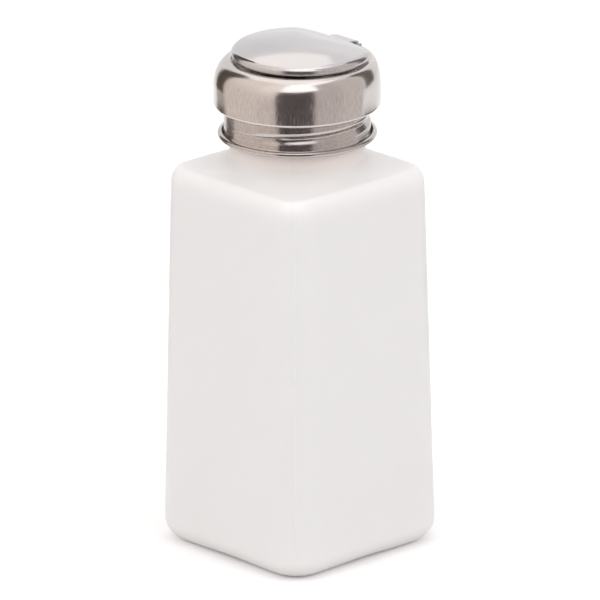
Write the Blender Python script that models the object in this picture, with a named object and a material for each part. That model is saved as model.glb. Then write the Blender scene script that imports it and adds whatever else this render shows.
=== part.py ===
"""Pump dispenser bottle: a tapered square bottle, a rolled screw collar and a press-down pump.

Every length is in metres, +Z is up, and the origin is the centre of the base on the table.
The lid opens towards -Y and its hinge is at +Y, over the rear edge of the head.
The pump is stacked from the bottle's mouth: gasket, housing flange and collar upwards, and
piston, spring and foot valve downwards, so one changed size moves what it carries.
"""

import math

import bmesh
import bpy
from mathutils import Matrix, Vector

# Clearance, sheet metal and stroke shared by the pieces
gap = 0.0003
sheet = 0.0005
press_travel = 0.0050
overrun = 0.0020

# Bottle: outside
base_width = 0.0570
top_width = 0.0522
base_corner = 0.0085
top_corner = 0.0070
heel_height = 0.0068
heel_inset = 0.0060
foot_width = 0.0050
arch_height = 0.0004
arch_spread = math.radians(33)
push_up_height = 0.0014
push_up_slope = 0.0040
mouth_height = 0.1230
neck_length = 0.0130
support_length = 0.0056
shoulder_rise = 0.0036
shoulder_shares = ((0, 0), (0.40, 0.16), (0.72, 0.40), (0.92, 0.72), (1, 1))
edge_height = 0.0050
edge_inset = 0.0030

# Bottle: walls and neck
wall = 0.0013
bore_radius = 0.0158
neck_wall = 0.0016
neck_step = 0.0009
lip_round = 0.0004
inner_shoulder_share = 0.33
inner_edge_share = 0.33
inner_heel_share = 0.33

# Screw thread, right handed
thread_pitch = 0.00423
thread_end_drop = 0.0002
thread_half_width = 0.0007
neck_thread_depth = 0.0012
collar_thread_depth = 0.0011
thread_start = math.radians(-58)
collar_thread_turn = math.radians(265)
neck_thread_start = math.radians(-120)
neck_thread_turn = math.radians(200)
thread_fade = math.radians(22)

# Gasket and screw collar
gasket_height = 0.0010
gasket_width = 0.0034
flange_margin = 0.0005
collar_clearance = 0.0010
collar_round = 0.0010
bead_radius = 0.00115
bead_reach = 0.00045
bead_drop = 0.00015
bead_arc_degrees = (-145, 100)

# Pump housing, stem guide and its seal
flange_height = 0.0012
cylinder_radius = 0.0055
barrel_wall = 0.0015
barrel_shoulder = 0.0015
counterbore_wall = 0.0010
guide_step = 0.0004
guide_flange_width = 0.0018
guide_flange_height = 0.0005
guide_length = 0.0076
guide_lip = 0.0009
guide_stand = 0.0006
seal_height = 0.0012
seal_width = 0.0011
seal_chamfer_share = 0.25

# Piston, its ring and the return spring
piston_height = 0.0055
piston_floor = 0.0013
piston_rest_gap = 0.0012
piston_ring_height = 0.0012
piston_ring_width = 0.0009
spring_length = 0.0138
spring_clearance = 0.0005
wire_radius = 0.0004
spring_turns = 6

# Foot valve, ball and dip tube
spring_seat_width = 0.0013
retainer_height = 0.0007
inlet_bore = 0.0012
inlet_seat = 0.0008
inlet_lift = 0.0007
ball_clearance = 0.0004
lower_bore_length = 0.0070
valve_flange_height = 0.0012
valve_flange_radius = 0.0060
socket_wall = 0.0010
socket_length = 0.0063
tube_radius = 0.0025
tube_wall = 0.0010
tube_foot_gap = 0.0013
tube_slant = math.radians(30)

# Stem, hub and nozzle
stem_radius = 0.0025
stem_bore = 0.0010
hub_radius = 0.0057
hub_height = 0.0016
nozzle_socket = 0.0006
outlet_seat = 0.0003
outlet_lift = 0.0007
nozzle_wall = 0.0019
nozzle_cap = 0.0006
nozzle_foot = 0.0010
nozzle_hole_radius = 0.0005

# Dish
dish_depth = 0.0024
boss_height = 0.0012
boss_radius = 0.0069
boss_slope = 0.0018
trough_setback_share = 0.8
rim_slope = 0.0020
rim_land = 0.0009
rim_overlap = 0.0006

# Head shell
shell_clearance = 0.00045
curl_radius = 0.0011
bead_clearance = 0.00145
curl_arc_degrees = (130, 360)
dome_height = 0.0070
dome_inset = 0.00355
crest_width = 0.0004
crest_fall = 0.00015
setback = 0.0015

# Lid and hinge
lid_overlap = 0.00015
lid_rim_height = 0.0018
lid_round = 0.0010
lid_round_degrees = 75
lid_crown = 0.0019
tongue_half_width = 0.0040
tongue_root = 0.0013
tongue_sink = 0.0001
knuckle_gap = 0.00005
pin_inset = 0.0019
pin_radius = 0.0007
pin_clearance = 0.00025
pin_head_radius = 0.0010
pin_head_height = 0.0004
ear_gap = 0.0004
ear_thickness = 0.0008
ear_radius = 0.0013
ear_arc_degrees = range(-40, 161, 25)
plate_setback = 0.0023
plate_depth = 0.0045
rivet_radius = 0.0007
rivet_head_radius = 0.0014
rivet_head_height = 0.0006
rivet_spacing = 0.0056
rivet_inset = 0.0026

# Smoothness of the round pieces
large_segments = 36
small_segments = 20
fine_segments = 12
hole_segments = 8
ball_rings = 8
crown_rows = 4
arc_steps = 4
quadrant_degrees = (0, 12, 24, 33, 38.5, 45, 51.5, 57, 66, 78)

# Levels of the bottle, down from its mouth
neck_root_height = mouth_height - neck_length
shoulder_height = neck_root_height - shoulder_rise

# Threads: the collar's ridge lies one clearance under the neck's
thread_end = mouth_height - lip_round - thread_half_width - thread_end_drop
neck_thread_level = thread_end - thread_pitch * neck_thread_turn / (2 * math.pi)
thread_offset = thread_half_width + thread_half_width + gap
thread_lag = thread_pitch * (neck_thread_start - thread_start) / (2 * math.pi)
collar_thread_level = neck_thread_level - thread_lag - thread_offset

# Levels of the stack from the mouth upwards
thread_root = bore_radius + neck_wall
neck_radius = thread_root + neck_step
gasket_bottom = mouth_height + gap
flange_bottom = gasket_bottom + gasket_height + gap
flange_top = flange_bottom + flange_height
collar_inner = neck_radius + collar_clearance
collar_outer = collar_inner + sheet
collar_top = flange_top + gap + sheet
band_bottom = collar_thread_level - thread_half_width - bead_drop
bead_level = band_bottom - gap - bead_radius
flange_radius = thread_root - flange_margin

# Levels of the head over the collar
rivet_bottom = collar_top + press_travel + gap
trough_top = rivet_bottom + rivet_head_height + gap + sheet
boss_top = trough_top + boss_height
rim_top = trough_top + dish_depth
crest_top = rim_top + gap + sheet
stem_top = boss_top + nozzle_socket
curl_level = bead_level + bead_radius + press_travel + bead_clearance + curl_radius
curl_centre = collar_outer + shell_clearance + curl_radius
shell_radius = curl_centre + curl_radius
crest_radius = shell_radius - dome_inset
opening_radius = crest_radius - crest_width
lid_radius = opening_radius + lid_overlap
lid_bottom = crest_top + gap
lid_shoulder = lid_bottom + lid_rim_height
knuckle_inner = pin_radius + pin_clearance
knuckle_radius = knuckle_inner + sheet
pin_level = rim_top + gap + knuckle_radius
pin_row = setback + opening_radius - pin_inset
chord_row = pin_row - knuckle_radius - knuckle_gap

# Rings of the dish between its rim and its boss
rim_radius = opening_radius + rim_overlap
rim_inner = rim_radius - rim_land
trough_outer = rim_inner - rim_slope
trough_inner = boss_radius + boss_slope

# Levels of the pump below the collar
guide_radius = cylinder_radius + guide_step
guide_flange_radius = guide_radius + guide_flange_width
guide_top = flange_top + guide_stand
guide_bottom = guide_top - guide_length
recess_bottom = guide_bottom - gap
recess_radius = guide_radius + gap
piston_top = recess_bottom - piston_rest_gap
piston_bottom = piston_top - piston_height
piston_radius = cylinder_radius - gap
stem_bottom = piston_bottom + piston_floor + gap
sliding_bore = stem_radius + gap
spring_top = piston_bottom - gap
spring_bottom = spring_top - spring_length
spring_seat = spring_bottom - gap
barrel_radius = cylinder_radius + barrel_wall
lower_bore = cylinder_radius - spring_seat_width
valve_radius = lower_bore - gap
retainer_top = spring_seat - gap
retainer_bottom = retainer_top - retainer_height
valve_top = retainer_bottom - gap
inlet_ball_radius = inlet_bore + inlet_seat
inlet_ball_rise = math.sqrt(inlet_ball_radius ** 2 - inlet_bore ** 2) + gap
inlet_ball_level = valve_top - inlet_lift - inlet_ball_radius
inlet_seat_level = inlet_ball_level - inlet_ball_rise
housing_bottom = spring_seat - lower_bore_length
valve_flange_top = housing_bottom - gap
valve_flange_bottom = valve_flange_top - valve_flange_height
socket_radius = tube_radius + gap
socket_bottom = valve_flange_bottom - socket_length
tube_top = valve_flange_bottom - gap
tube_bottom = push_up_height + wall + tube_foot_gap

# Places that two pieces share
outlet_ball_radius = stem_bore + outlet_seat
outlet_ball_rise = math.sqrt(outlet_ball_radius ** 2 - stem_bore ** 2) + gap
outlet_ball_level = stem_top + outlet_ball_rise
seal_bottom = guide_bottom + guide_lip + gap
ring_bottom = piston_bottom + (piston_height - piston_ring_height) / 2
ear_inner = tongue_half_width + ear_gap
ear_outer = ear_inner + ear_thickness
plate_bottom = trough_top + gap
plate_top = plate_bottom + sheet
bracket_rear = pin_row - plate_setback
bracket_front = bracket_rear - plate_depth
rivet_row = bracket_rear - rivet_inset


def clear_scene():
    """Removes what the file opens with."""
    for thing in list(bpy.data.objects):
        bpy.data.objects.remove(thing, do_unlink=True)


def make_material(name, colour, roughness, metallic):
    """A Principled material in one plain colour."""
    material = bpy.data.materials.new(name)
    material.use_nodes = True
    shader = material.node_tree.nodes["Principled BSDF"]
    shader.inputs["Base Color"].default_value = (*colour, 1)
    shader.inputs["Roughness"].default_value = roughness
    shader.inputs["Metallic"].default_value = metallic
    material.diffuse_color = (*colour, 1)
    return material


def add_object(name, bm, material, origin=(0, 0, 0)):
    """Turns a bmesh into a smooth-shaded object whose origin is on its joint's axis."""
    bmesh.ops.recalc_face_normals(bm, faces=bm.faces)
    mesh = bpy.data.meshes.new(name)
    bm.to_mesh(mesh)
    bm.free()
    mesh.transform(Matrix.Translation(-Vector(origin)))
    mesh.shade_smooth()
    mesh.set_sharp_from_angle(angle=math.radians(35))
    mesh.materials.append(material)
    piece = bpy.data.objects.new(name, mesh)
    piece.location = origin
    bpy.context.collection.objects.link(piece)
    return piece


def hide_tool(piece):
    """Marks a cutter or an operand, which is not a piece of the bottle."""
    piece.hide_render = True
    piece.display_type = "WIRE"
    return piece


def combine(piece, tool, operation):
    """Joins a tool to a piece, or cuts it out, with a live Boolean."""
    modifier = piece.modifiers.new(tool.name, "BOOLEAN")
    modifier.operation = operation
    modifier.solver = "EXACT"
    modifier.object = tool


def add_circle(bm, radius, level, segments, shift=0):
    """One ring of a turned piece, with its centre moved back by shift."""
    ring = []
    for index in range(segments):
        angle = 2 * math.pi * index / segments
        ring.append(bm.verts.new((radius * math.cos(angle), shift + radius * math.sin(angle), level)))
    return ring


def bridge(bm, first, second):
    """One band of faces between two rings of as many points."""
    for index in range(len(first)):
        bm.faces.new((first[index - 1], first[index], second[index], second[index - 1]))


def skin(bm, rings, closed):
    """Bridges the rings in order, and either closes the skin on itself or caps both ends."""
    for first, second in zip(rings, rings[1:]):
        bridge(bm, first, second)
    if closed:
        bridge(bm, rings[-1], rings[0])
    else:
        bm.faces.new(rings[0])
        bm.faces.new(rings[-1])


def turn(name, profile, material, segments, closed=True, origin=(0, 0, 0)):
    """A turned piece from (radius, level) or (radius, level, share of the setback) points."""
    bm = bmesh.new()
    rings = []
    for radius, level, *share in profile:
        shift = setback * share[0] if share else 0
        rings.append(add_circle(bm, radius, level, segments, shift))
    skin(bm, rings, closed)
    return add_object(name, bm, material, origin)


def arc(centre_radius, centre_level, radius, start, end, steps=arc_steps):
    """Points of a round in a profile, from one angle to another in degrees."""
    points = []
    for step in range(steps + 1):
        angle = math.radians(start + (end - start) * step / steps)
        points.append((centre_radius + radius * math.cos(angle), centre_level + radius * math.sin(angle)))
    return points


def square_reach(angle, half, corner):
    """Distance from the axis to a rounded square, in one direction."""
    turn_in = abs((angle + math.pi / 4) % (math.pi / 2) - math.pi / 4)
    flat = half - corner
    if half * math.tan(turn_in) <= flat:
        return half / math.cos(turn_in)
    along = flat * (math.cos(turn_in) + math.sin(turn_in))
    return along + math.sqrt(max(along ** 2 - 2 * flat ** 2 + corner ** 2, 0))


def add_square(bm, half, corner, level, arch=0):
    """One ring of the bottle; a foot ring is arched up at the middle of each side."""
    verts = []
    for quarter in range(4):
        for degrees in quadrant_degrees:
            angle = math.radians(degrees + 90 * quarter)
            reach = square_reach(angle, half, min(corner, half))
            side = math.radians(min(degrees, 90 - degrees))
            lift = arch * math.cos(math.pi / 2 * min(side / arch_spread, 1)) ** 2
            verts.append(bm.verts.new((reach * math.cos(angle), reach * math.sin(angle), level + lift)))
    return verts


def fade_in_turn(angle, start, span):
    """How deep a thread is at an angle: full in its middle and run out at both ends."""
    along = (angle - start) % (2 * math.pi)
    if along > span:
        return 0
    return min(1, along / thread_fade, (span - along) / thread_fade)


def helix_rise(angle, start, span):
    """Height of a thread above its start, sinking back over the stretch that has no thread."""
    along = (angle - start) % (2 * math.pi)
    top = thread_pitch * span / (2 * math.pi)
    if along <= span:
        return thread_pitch * along / (2 * math.pi)
    return top * (2 * math.pi - along) / (2 * math.pi - span)


def wind_thread(verts, start_level, start, span, depth, low, high):
    """Draws the rings around start_level into a helix, moves them by depth and spreads the rest."""
    reach = thread_half_width
    for vert in verts:
        level = vert.co.z
        if not low < level < high:
            continue
        angle = math.atan2(vert.co.y, vert.co.x)
        offset = level - start_level
        share = 1
        if offset > reach:
            share = (high - level) / (high - start_level - reach)
        if offset < -reach:
            share = (level - low) / (start_level - reach - low)
        ridge = max(1 - abs(offset) / reach, 0)
        rise = helix_rise(angle, start, span) * share
        shift = depth * min(1, 2 * ridge) * fade_in_turn(angle, start, span)
        flat = Vector((vert.co.x, vert.co.y))
        flat = flat.normalized() * (flat.length + shift)
        vert.co = (flat.x, flat.y, level + rise)


def make_bottle(material):
    """Blow-moulded bottle: feet at the corners, tapered walls, sloping shoulder and threaded neck."""
    bm = bmesh.new()
    base_half = base_width / 2
    top_half = top_width / 2
    taper = (base_half - top_half) / shoulder_height
    rings = []

    def body_half(level):
        return base_half - taper * level

    def body_corner(level):
        return base_corner + (top_corner - base_corner) * level / shoulder_height

    foot_half = base_half - heel_inset
    foot_inner = foot_half - foot_width
    floor_half = foot_inner - push_up_slope
    foot_corner = base_corner * foot_half / base_half
    rings.append(add_square(bm, floor_half, foot_corner, push_up_height))
    rings.append(add_square(bm, foot_inner, foot_corner, 0, arch_height))
    rings.append(add_square(bm, foot_half, foot_corner, 0, arch_height))
    for step in range(1, arc_steps):
        angle = math.pi / 2 * step / arc_steps
        level = heel_height * (1 - math.cos(angle))
        inset = heel_inset * (1 - math.sin(angle))
        corner = foot_corner + (body_corner(level) - foot_corner) * step / arc_steps
        arch = arch_height * (1 - step / arc_steps)
        rings.append(add_square(bm, body_half(level) - inset, corner, level, arch))
    rings.append(add_square(bm, body_half(heel_height), body_corner(heel_height), heel_height))

    edge_start = shoulder_height - edge_height
    for step in range(arc_steps):
        angle = math.pi / 2 * step / arc_steps
        level = edge_start + edge_height * math.sin(angle)
        inset = edge_inset * (1 - math.cos(angle))
        rings.append(add_square(bm, body_half(level) - inset, body_corner(level) - inset, level))
    edge_half = top_half - edge_inset
    edge_corner = top_corner - edge_inset
    for inward, upward in shoulder_shares:
        half = edge_half + (neck_radius - edge_half) * inward
        corner = edge_corner + (neck_radius - edge_corner) * inward
        level = shoulder_height + (neck_root_height - shoulder_height) * upward
        rings.append(add_square(bm, half, corner, level))

    support_top = neck_root_height + support_length
    thread_low = support_top + neck_step
    half_ridge = thread_half_width / 2
    rings.append(add_square(bm, neck_radius, neck_radius, support_top))
    ridge_levels = [neck_thread_level - thread_half_width, neck_thread_level - half_ridge]
    ridge_levels += [neck_thread_level + half_ridge, neck_thread_level + thread_half_width]
    for level in [thread_low, *ridge_levels, mouth_height - lip_round]:
        rings.append(add_square(bm, thread_root, thread_root, level))
    rings.append(add_square(bm, thread_root - lip_round, thread_root - lip_round, mouth_height))
    rings.append(add_square(bm, bore_radius, bore_radius, mouth_height))

    inner_root = neck_root_height - wall
    inner_edge = shoulder_height - wall
    rings.append(add_square(bm, bore_radius, bore_radius, inner_root))
    inner_half = edge_half + (bore_radius - edge_half) * inner_shoulder_share
    inner_corner = edge_corner + (bore_radius - edge_corner) * inner_shoulder_share
    inner_fall = edge_inset * inner_edge_share
    rings.append(add_square(bm, inner_half, inner_corner, inner_edge))
    rings.append(add_square(bm, edge_half, top_corner - wall, inner_edge - inner_fall))
    for level in (edge_start - wall, heel_height + wall):
        rings.append(add_square(bm, body_half(level) - wall, body_corner(level) - wall, level))
    low_half = base_half - wall - heel_inset * inner_heel_share
    rings.append(add_square(bm, low_half, foot_corner, heel_height * inner_heel_share + wall))
    rings.append(add_square(bm, foot_half - wall, foot_corner - wall, arch_height + wall))
    rings.append(add_square(bm, floor_half, foot_corner, push_up_height + wall))
    skin(bm, rings, closed=False)
    outside = [vert for vert in bm.verts if vert.co.xy.length > thread_root - lip_round / 2]
    wind_thread(outside, neck_thread_level, neck_thread_start, neck_thread_turn, neck_thread_depth,
                thread_low, mouth_height - lip_round)
    return add_object("bottle", bm, material)


def make_gasket(material):
    """Flat rubber washer between the mouth and the pump's flange."""
    inner = flange_radius - gasket_width
    top = gasket_bottom + gasket_height
    profile = [(inner, gasket_bottom), (flange_radius, gasket_bottom), (flange_radius, top), (inner, top)]
    return turn("neck_gasket", profile, material, large_segments)


def make_collar(material):
    """Pressed screw cap: rolled bead at the foot, rolled thread in the band, open top."""
    hole = guide_radius + gap + gap
    bead_centre = collar_outer + bead_reach
    round_low = collar_top - collar_round
    middle = collar_thread_level
    half_ridge = thread_half_width / 2
    rows = [middle - thread_half_width, middle - half_ridge, middle, middle + half_ridge]
    rows.append(middle + thread_half_width)
    outer = arc(bead_centre, bead_level, bead_radius, *bead_arc_degrees, 8)
    outer.append((collar_outer, band_bottom))
    outer += [(collar_outer, level) for level in rows]
    outer += arc(collar_outer - collar_round, round_low, collar_round, 0, 90, 3)
    outer.append((hole, collar_top))
    inner = [(hole, collar_top - sheet), (collar_outer - collar_round, collar_top - sheet)]
    inner += [(collar_inner, round_low)]
    inner += [(collar_inner, level) for level in reversed(rows)]
    inner.append((collar_inner, band_bottom))
    bm = bmesh.new()
    rings = [add_circle(bm, radius, level, large_segments) for radius, level in outer + inner]
    skin(bm, rings, closed=True)
    wind_thread(bm.verts, middle, thread_start, collar_thread_turn, -collar_thread_depth,
                band_bottom, round_low)
    return add_object("screw_collar", bm, material)


def make_housing(material):
    """Pump housing: flange on the gasket, recess for the guide, cylinder and valve bore."""
    counterbore = guide_flange_radius + gap
    counterbore_floor = flange_top - guide_flange_height - gap
    upper_radius = counterbore + counterbore_wall
    shoulder = recess_bottom - barrel_shoulder
    profile = [
        (counterbore, flange_top),
        (flange_radius, flange_top),
        (flange_radius, flange_bottom),
        (upper_radius, flange_bottom),
        (upper_radius, shoulder),
        (barrel_radius, shoulder - barrel_shoulder),
        (barrel_radius, housing_bottom),
        (lower_bore, housing_bottom),
        (lower_bore, spring_seat),
        (cylinder_radius, spring_seat),
        (cylinder_radius, recess_bottom),
        (recess_radius, recess_bottom),
        (recess_radius, counterbore_floor),
        (counterbore, counterbore_floor),
    ]
    return turn("pump_housing", profile, material, small_segments)


def make_guide(material):
    """Stem guide: a flanged bush held down by the collar, grooved for its seal."""
    flange_low = flange_top - guide_flange_height
    groove_radius = sliding_bore + seal_width + gap
    groove_low = seal_bottom - gap
    groove_high = seal_bottom + seal_height + gap
    profile = [
        (sliding_bore, guide_bottom),
        (guide_radius, guide_bottom),
        (guide_radius, flange_low),
        (guide_flange_radius, flange_low),
        (guide_flange_radius, flange_top),
        (guide_radius, flange_top),
        (guide_radius, guide_top),
        (sliding_bore, guide_top),
        (sliding_bore, groove_high),
        (groove_radius, groove_high),
        (groove_radius, groove_low),
        (sliding_bore, groove_low),
    ]
    return turn("stem_guide", profile, material, small_segments)


def make_seal(name, inner, width, bottom, height, material):
    """A rubber ring of round-edged section."""
    chamfer = width * seal_chamfer_share
    outer = inner + width
    top = bottom + height
    profile = [
        (inner + chamfer, bottom),
        (outer - chamfer, bottom),
        (outer, bottom + chamfer),
        (outer, top - chamfer),
        (outer - chamfer, top),
        (inner + chamfer, top),
        (inner, top - chamfer),
        (inner, bottom + chamfer),
    ]
    return turn(name, profile, material, small_segments)


def make_piston(material):
    """Piston: socket for the stem's foot, passage through its floor, groove for its ring."""
    socket_floor = piston_bottom + piston_floor
    groove_radius = piston_radius - piston_ring_width - gap
    groove_low = ring_bottom - gap
    groove_high = ring_bottom + piston_ring_height + gap
    profile = [
        (stem_bore, piston_bottom),
        (piston_radius, piston_bottom),
        (piston_radius, groove_low),
        (groove_radius, groove_low),
        (groove_radius, groove_high),
        (piston_radius, groove_high),
        (piston_radius, piston_top),
        (sliding_bore, piston_top),
        (sliding_bore, socket_floor),
        (stem_bore, socket_floor),
    ]
    return turn("piston", profile, material, small_segments)


def make_spring(material):
    """Return spring: a wire wound between the housing's seat and the piston."""
    coil_radius = cylinder_radius - spring_clearance - wire_radius
    wound_height = spring_length - wire_radius - wire_radius
    points_each_turn = 10
    count = spring_turns * points_each_turn + 1
    curve = bpy.data.curves.new("return_spring", "CURVE")
    curve.dimensions = "3D"
    curve.bevel_depth = wire_radius
    curve.bevel_resolution = 1
    curve.use_fill_caps = True
    spline = curve.splines.new("POLY")
    spline.points.add(count - 1)
    for index, point in enumerate(spline.points):
        share = index / (count - 1)
        angle = 2 * math.pi * spring_turns * share
        level = spring_bottom + wire_radius + wound_height * share
        point.co = (coil_radius * math.cos(angle), coil_radius * math.sin(angle), level, 1)
    curve.materials.append(material)
    spring = bpy.data.objects.new("return_spring", curve)
    bpy.context.collection.objects.link(spring)
    return spring


def make_foot_valve(material):
    """Foot valve: ball seat and chamber above its flange, socket for the dip tube below."""
    chamber = inlet_ball_radius + ball_clearance
    socket_outer = socket_radius + socket_wall
    profile = [
        (inlet_bore, valve_flange_bottom),
        (inlet_bore, inlet_seat_level),
        (chamber, inlet_seat_level),
        (chamber, valve_top),
        (valve_radius, valve_top),
        (valve_radius, valve_flange_top),
        (valve_flange_radius, valve_flange_top),
        (valve_flange_radius, valve_flange_bottom),
        (socket_outer, valve_flange_bottom),
        (socket_outer, socket_bottom),
        (socket_radius, socket_bottom),
        (socket_radius, valve_flange_bottom),
    ]
    return turn("foot_valve", profile, material, small_segments)


def make_retainer(material):
    """Ball retainer: a washer that stops the ball and lets the liquid through."""
    profile = [
        (inlet_bore, retainer_bottom),
        (valve_radius, retainer_bottom),
        (valve_radius, retainer_top),
        (inlet_bore, retainer_top),
    ]
    return turn("ball_retainer", profile, material, small_segments)


def make_ball(name, radius, level, material):
    """A valve ball on the pump's axis."""
    bm = bmesh.new()
    place = Matrix.Translation((0, 0, level))
    bmesh.ops.create_uvsphere(bm, u_segments=fine_segments, v_segments=ball_rings, radius=radius,
                              matrix=place)
    return add_object(name, bm, material, (0, 0, level))


def make_dip_tube(material):
    """Dip tube, cut at a slant so that its end never seals against the floor."""
    inner = tube_radius - tube_wall
    profile = [(inner, tube_bottom), (tube_radius, tube_bottom), (tube_radius, tube_top), (inner, tube_top)]
    tube = turn("dip_tube", profile, material, small_segments)
    for vert in tube.data.vertices:
        if vert.co.z < (tube_bottom + tube_top) / 2:
            vert.co.z += math.tan(tube_slant) * (vert.co.y + tube_radius)
    return tube


def make_stem(material):
    """Hollow stem that carries the head on the piston."""
    profile = [
        (stem_bore, stem_bottom),
        (stem_radius, stem_bottom),
        (stem_radius, stem_top),
        (stem_bore, stem_top),
    ]
    return turn("stem", profile, material, small_segments)


def make_hub(material):
    """Hub under the dish that takes the push of the hand to the stem."""
    top = boss_top - sheet - gap
    bottom = top - hub_height
    profile = [(sliding_bore, bottom), (hub_radius, bottom), (hub_radius, top), (sliding_bore, top)]
    return turn("dish_hub", profile, material, small_segments)


def make_dish(material):
    """Pressed dish: centre boss, trough for the liquid and a rim caught under the shell's edge."""
    top = [
        (sliding_bore, boss_top, 0),
        (boss_radius, boss_top, 0),
        (trough_inner, trough_top, 0),
        (trough_outer, trough_top, trough_setback_share),
        (rim_inner, rim_top, 1),
        (rim_radius, rim_top, 1),
    ]
    under = [(radius, level - sheet, share) for radius, level, share in reversed(top)]
    dish = turn("dish", top + under, material, large_segments)
    for side in (-1, 1):
        tool = make_rivet_hole("dish", side)
        combine(dish, tool, "DIFFERENCE")
    return dish


def make_rivet_hole(owner, side):
    """Cutter for a rivet's hole through the bracket's plate or the dish."""
    radius = rivet_radius + gap
    low = trough_top - sheet - overrun
    high = plate_top + overrun
    bm = bmesh.new()
    place = Matrix.Translation((side * rivet_spacing / 2, rivet_row, (low + high) / 2))
    bmesh.ops.create_cone(bm, cap_ends=True, segments=fine_segments, radius1=radius, radius2=radius,
                          depth=high - low, matrix=place)
    return hide_tool(add_object(f"{owner}_rivet_hole_{side}", bm, tool_material))


def make_nozzle(material):
    """Nozzle over the stem: a capped chamber for the outlet ball, with holes through its wall."""
    socket_top = stem_top + gap
    chamber = outlet_ball_radius + ball_clearance
    outer = chamber + nozzle_wall
    foot = outer + nozzle_foot
    bottom = boss_top + gap
    chamber_top = outlet_ball_level + outlet_ball_radius + outlet_lift + gap
    top = chamber_top + nozzle_cap
    round_off = nozzle_cap
    bm = bmesh.new()
    outside = [(sliding_bore, bottom), (foot, bottom), (foot, socket_top), (outer, socket_top + nozzle_cap)]
    outside += arc(outer - round_off, top - round_off, round_off, 0, 90, 3)
    inside = [(chamber, chamber_top), (chamber, socket_top), (sliding_bore, socket_top)]
    rings = [add_circle(bm, radius, level, small_segments) for radius, level in outside[::-1] + inside[::-1]]
    skin(bm, rings, closed=False)
    nozzle = add_object("nozzle", bm, material)
    level = chamber_top - nozzle_hole_radius - gap
    for index, turned in enumerate((0, math.pi / 2)):
        tool = bmesh.new()
        place = Matrix.Translation((0, 0, level)) @ Matrix.Rotation(turned, 4, "Z")
        place = place @ Matrix.Rotation(math.pi / 2, 4, "X")
        bmesh.ops.create_cone(tool, cap_ends=True, segments=hole_segments,
                              radius1=nozzle_hole_radius, radius2=nozzle_hole_radius,
                              depth=2 * (outer + overrun), matrix=place)
        cutter = hide_tool(add_object(f"nozzle_hole_{index}", tool, tool_material))
        combine(nozzle, cutter, "DIFFERENCE")
    return nozzle


def make_shell(material):
    """Head shell: curled lower edge, straight wall and a dome set back towards the hinge."""
    dome_start = crest_top - dome_height
    curl = arc(curl_centre, curl_level, curl_radius, *curl_arc_degrees, 7)
    outer = [(*point, 0) for point in curl]
    outer.append((shell_radius, dome_start, 0))
    inner = []
    for step in range(1, arc_steps + 3):
        angle = math.pi / 2 * step / (arc_steps + 2)
        share = 1 - math.cos(angle)
        outer_level = dome_start + dome_height * math.sin(angle)
        outer.append((shell_radius - dome_inset * share, outer_level, share))
        inner_radius = shell_radius - sheet - (dome_inset - sheet) * share
        inner_level = dome_start + (dome_height - sheet) * math.sin(angle)
        inner.append((inner_radius, inner_level, share))
    outer.append((opening_radius, crest_top - crest_fall, 1))
    inner.append((opening_radius, crest_top - sheet, 1))
    curl_top = curl_level + curl_radius
    wall_points = [(shell_radius - sheet, dome_start, 0), (shell_radius - sheet, curl_top, 0)]
    profile = outer + inner[::-1] + wall_points
    return turn("head_shell", profile, material, large_segments)


def make_lid(material):
    """Lid: crowned disc with a turned-down rim, cut straight at the rear, and a tongue on the pin."""
    flat_radius = lid_radius - lid_round
    edge = arc(flat_radius, lid_shoulder, lid_round, 0, lid_round_degrees, 3)
    crown_start = edge[-1][1]
    outer = [(lid_radius, lid_bottom, 1)]
    outer += [(*point, 1) for point in edge]
    for row in range(1, crown_rows):
        share = 1 - row / crown_rows
        outer.append((flat_radius * share, crown_start + lid_crown * (1 - share ** 2), 1))
    inner = [(lid_radius - sheet, lid_bottom, 1), (lid_radius - sheet, lid_shoulder, 1)]
    inner.append((flat_radius - sheet, crown_start - sheet, 1))
    for row in range(1, crown_rows):
        share = 1 - row / crown_rows
        level = crown_start - sheet + lid_crown * (1 - share ** 2)
        inner.append((flat_radius * share, level, 1))
    lid = turn("lid", outer[::-1] + inner, material, large_segments, closed=False,
               origin=(0, pin_row, pin_level))
    cutter = bmesh.new()
    side = 2 * (lid_radius + overrun)
    height = 2 * (lid_rim_height + lid_crown + overrun)
    place = Matrix.Translation((0, chord_row + side / 2, lid_shoulder))
    bmesh.ops.create_cube(cutter, size=1, matrix=place @ Matrix.Diagonal((side, side, height, 1)))
    combine(lid, hide_tool(add_object("lid_chord_cutter", cutter, tool_material)), "DIFFERENCE")
    chord_share = (chord_row - setback) / flat_radius
    chord_level = crown_start + lid_crown * (1 - chord_share ** 2)
    combine(lid, make_tongue(chord_level), "UNION")
    return lid


def make_tongue(chord_level):
    """Tongue: out of the lid's sheet at its straight edge, down to the pin and rolled round it."""
    steps = 9
    inside = chord_row - tongue_root
    outline = [(inside, chord_level - tongue_sink)]
    outline.append((chord_row + sheet, chord_level - gap))
    arc_angles = [math.radians(90 - 270 * step / steps) for step in range(steps + 1)]
    for radius, angles in ((knuckle_radius, arc_angles), (knuckle_inner, arc_angles[::-1])):
        for angle in angles:
            outline.append((pin_row + radius * math.cos(angle), pin_level + radius * math.sin(angle)))
    outline.append((chord_row, chord_level - sheet - gap))
    outline.append((inside, chord_level - sheet + tongue_sink))
    bm = bmesh.new()
    verts = [bm.verts.new((-tongue_half_width, y, z)) for y, z in outline]
    face = bm.faces.new(verts)
    made = bmesh.ops.extrude_face_region(bm, geom=[face])
    moved = [item for item in made["geom"] if isinstance(item, bmesh.types.BMVert)]
    bmesh.ops.translate(bm, verts=moved, vec=(2 * tongue_half_width, 0, 0))
    return hide_tool(add_object("lid_tongue", bm, tool_material))


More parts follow.
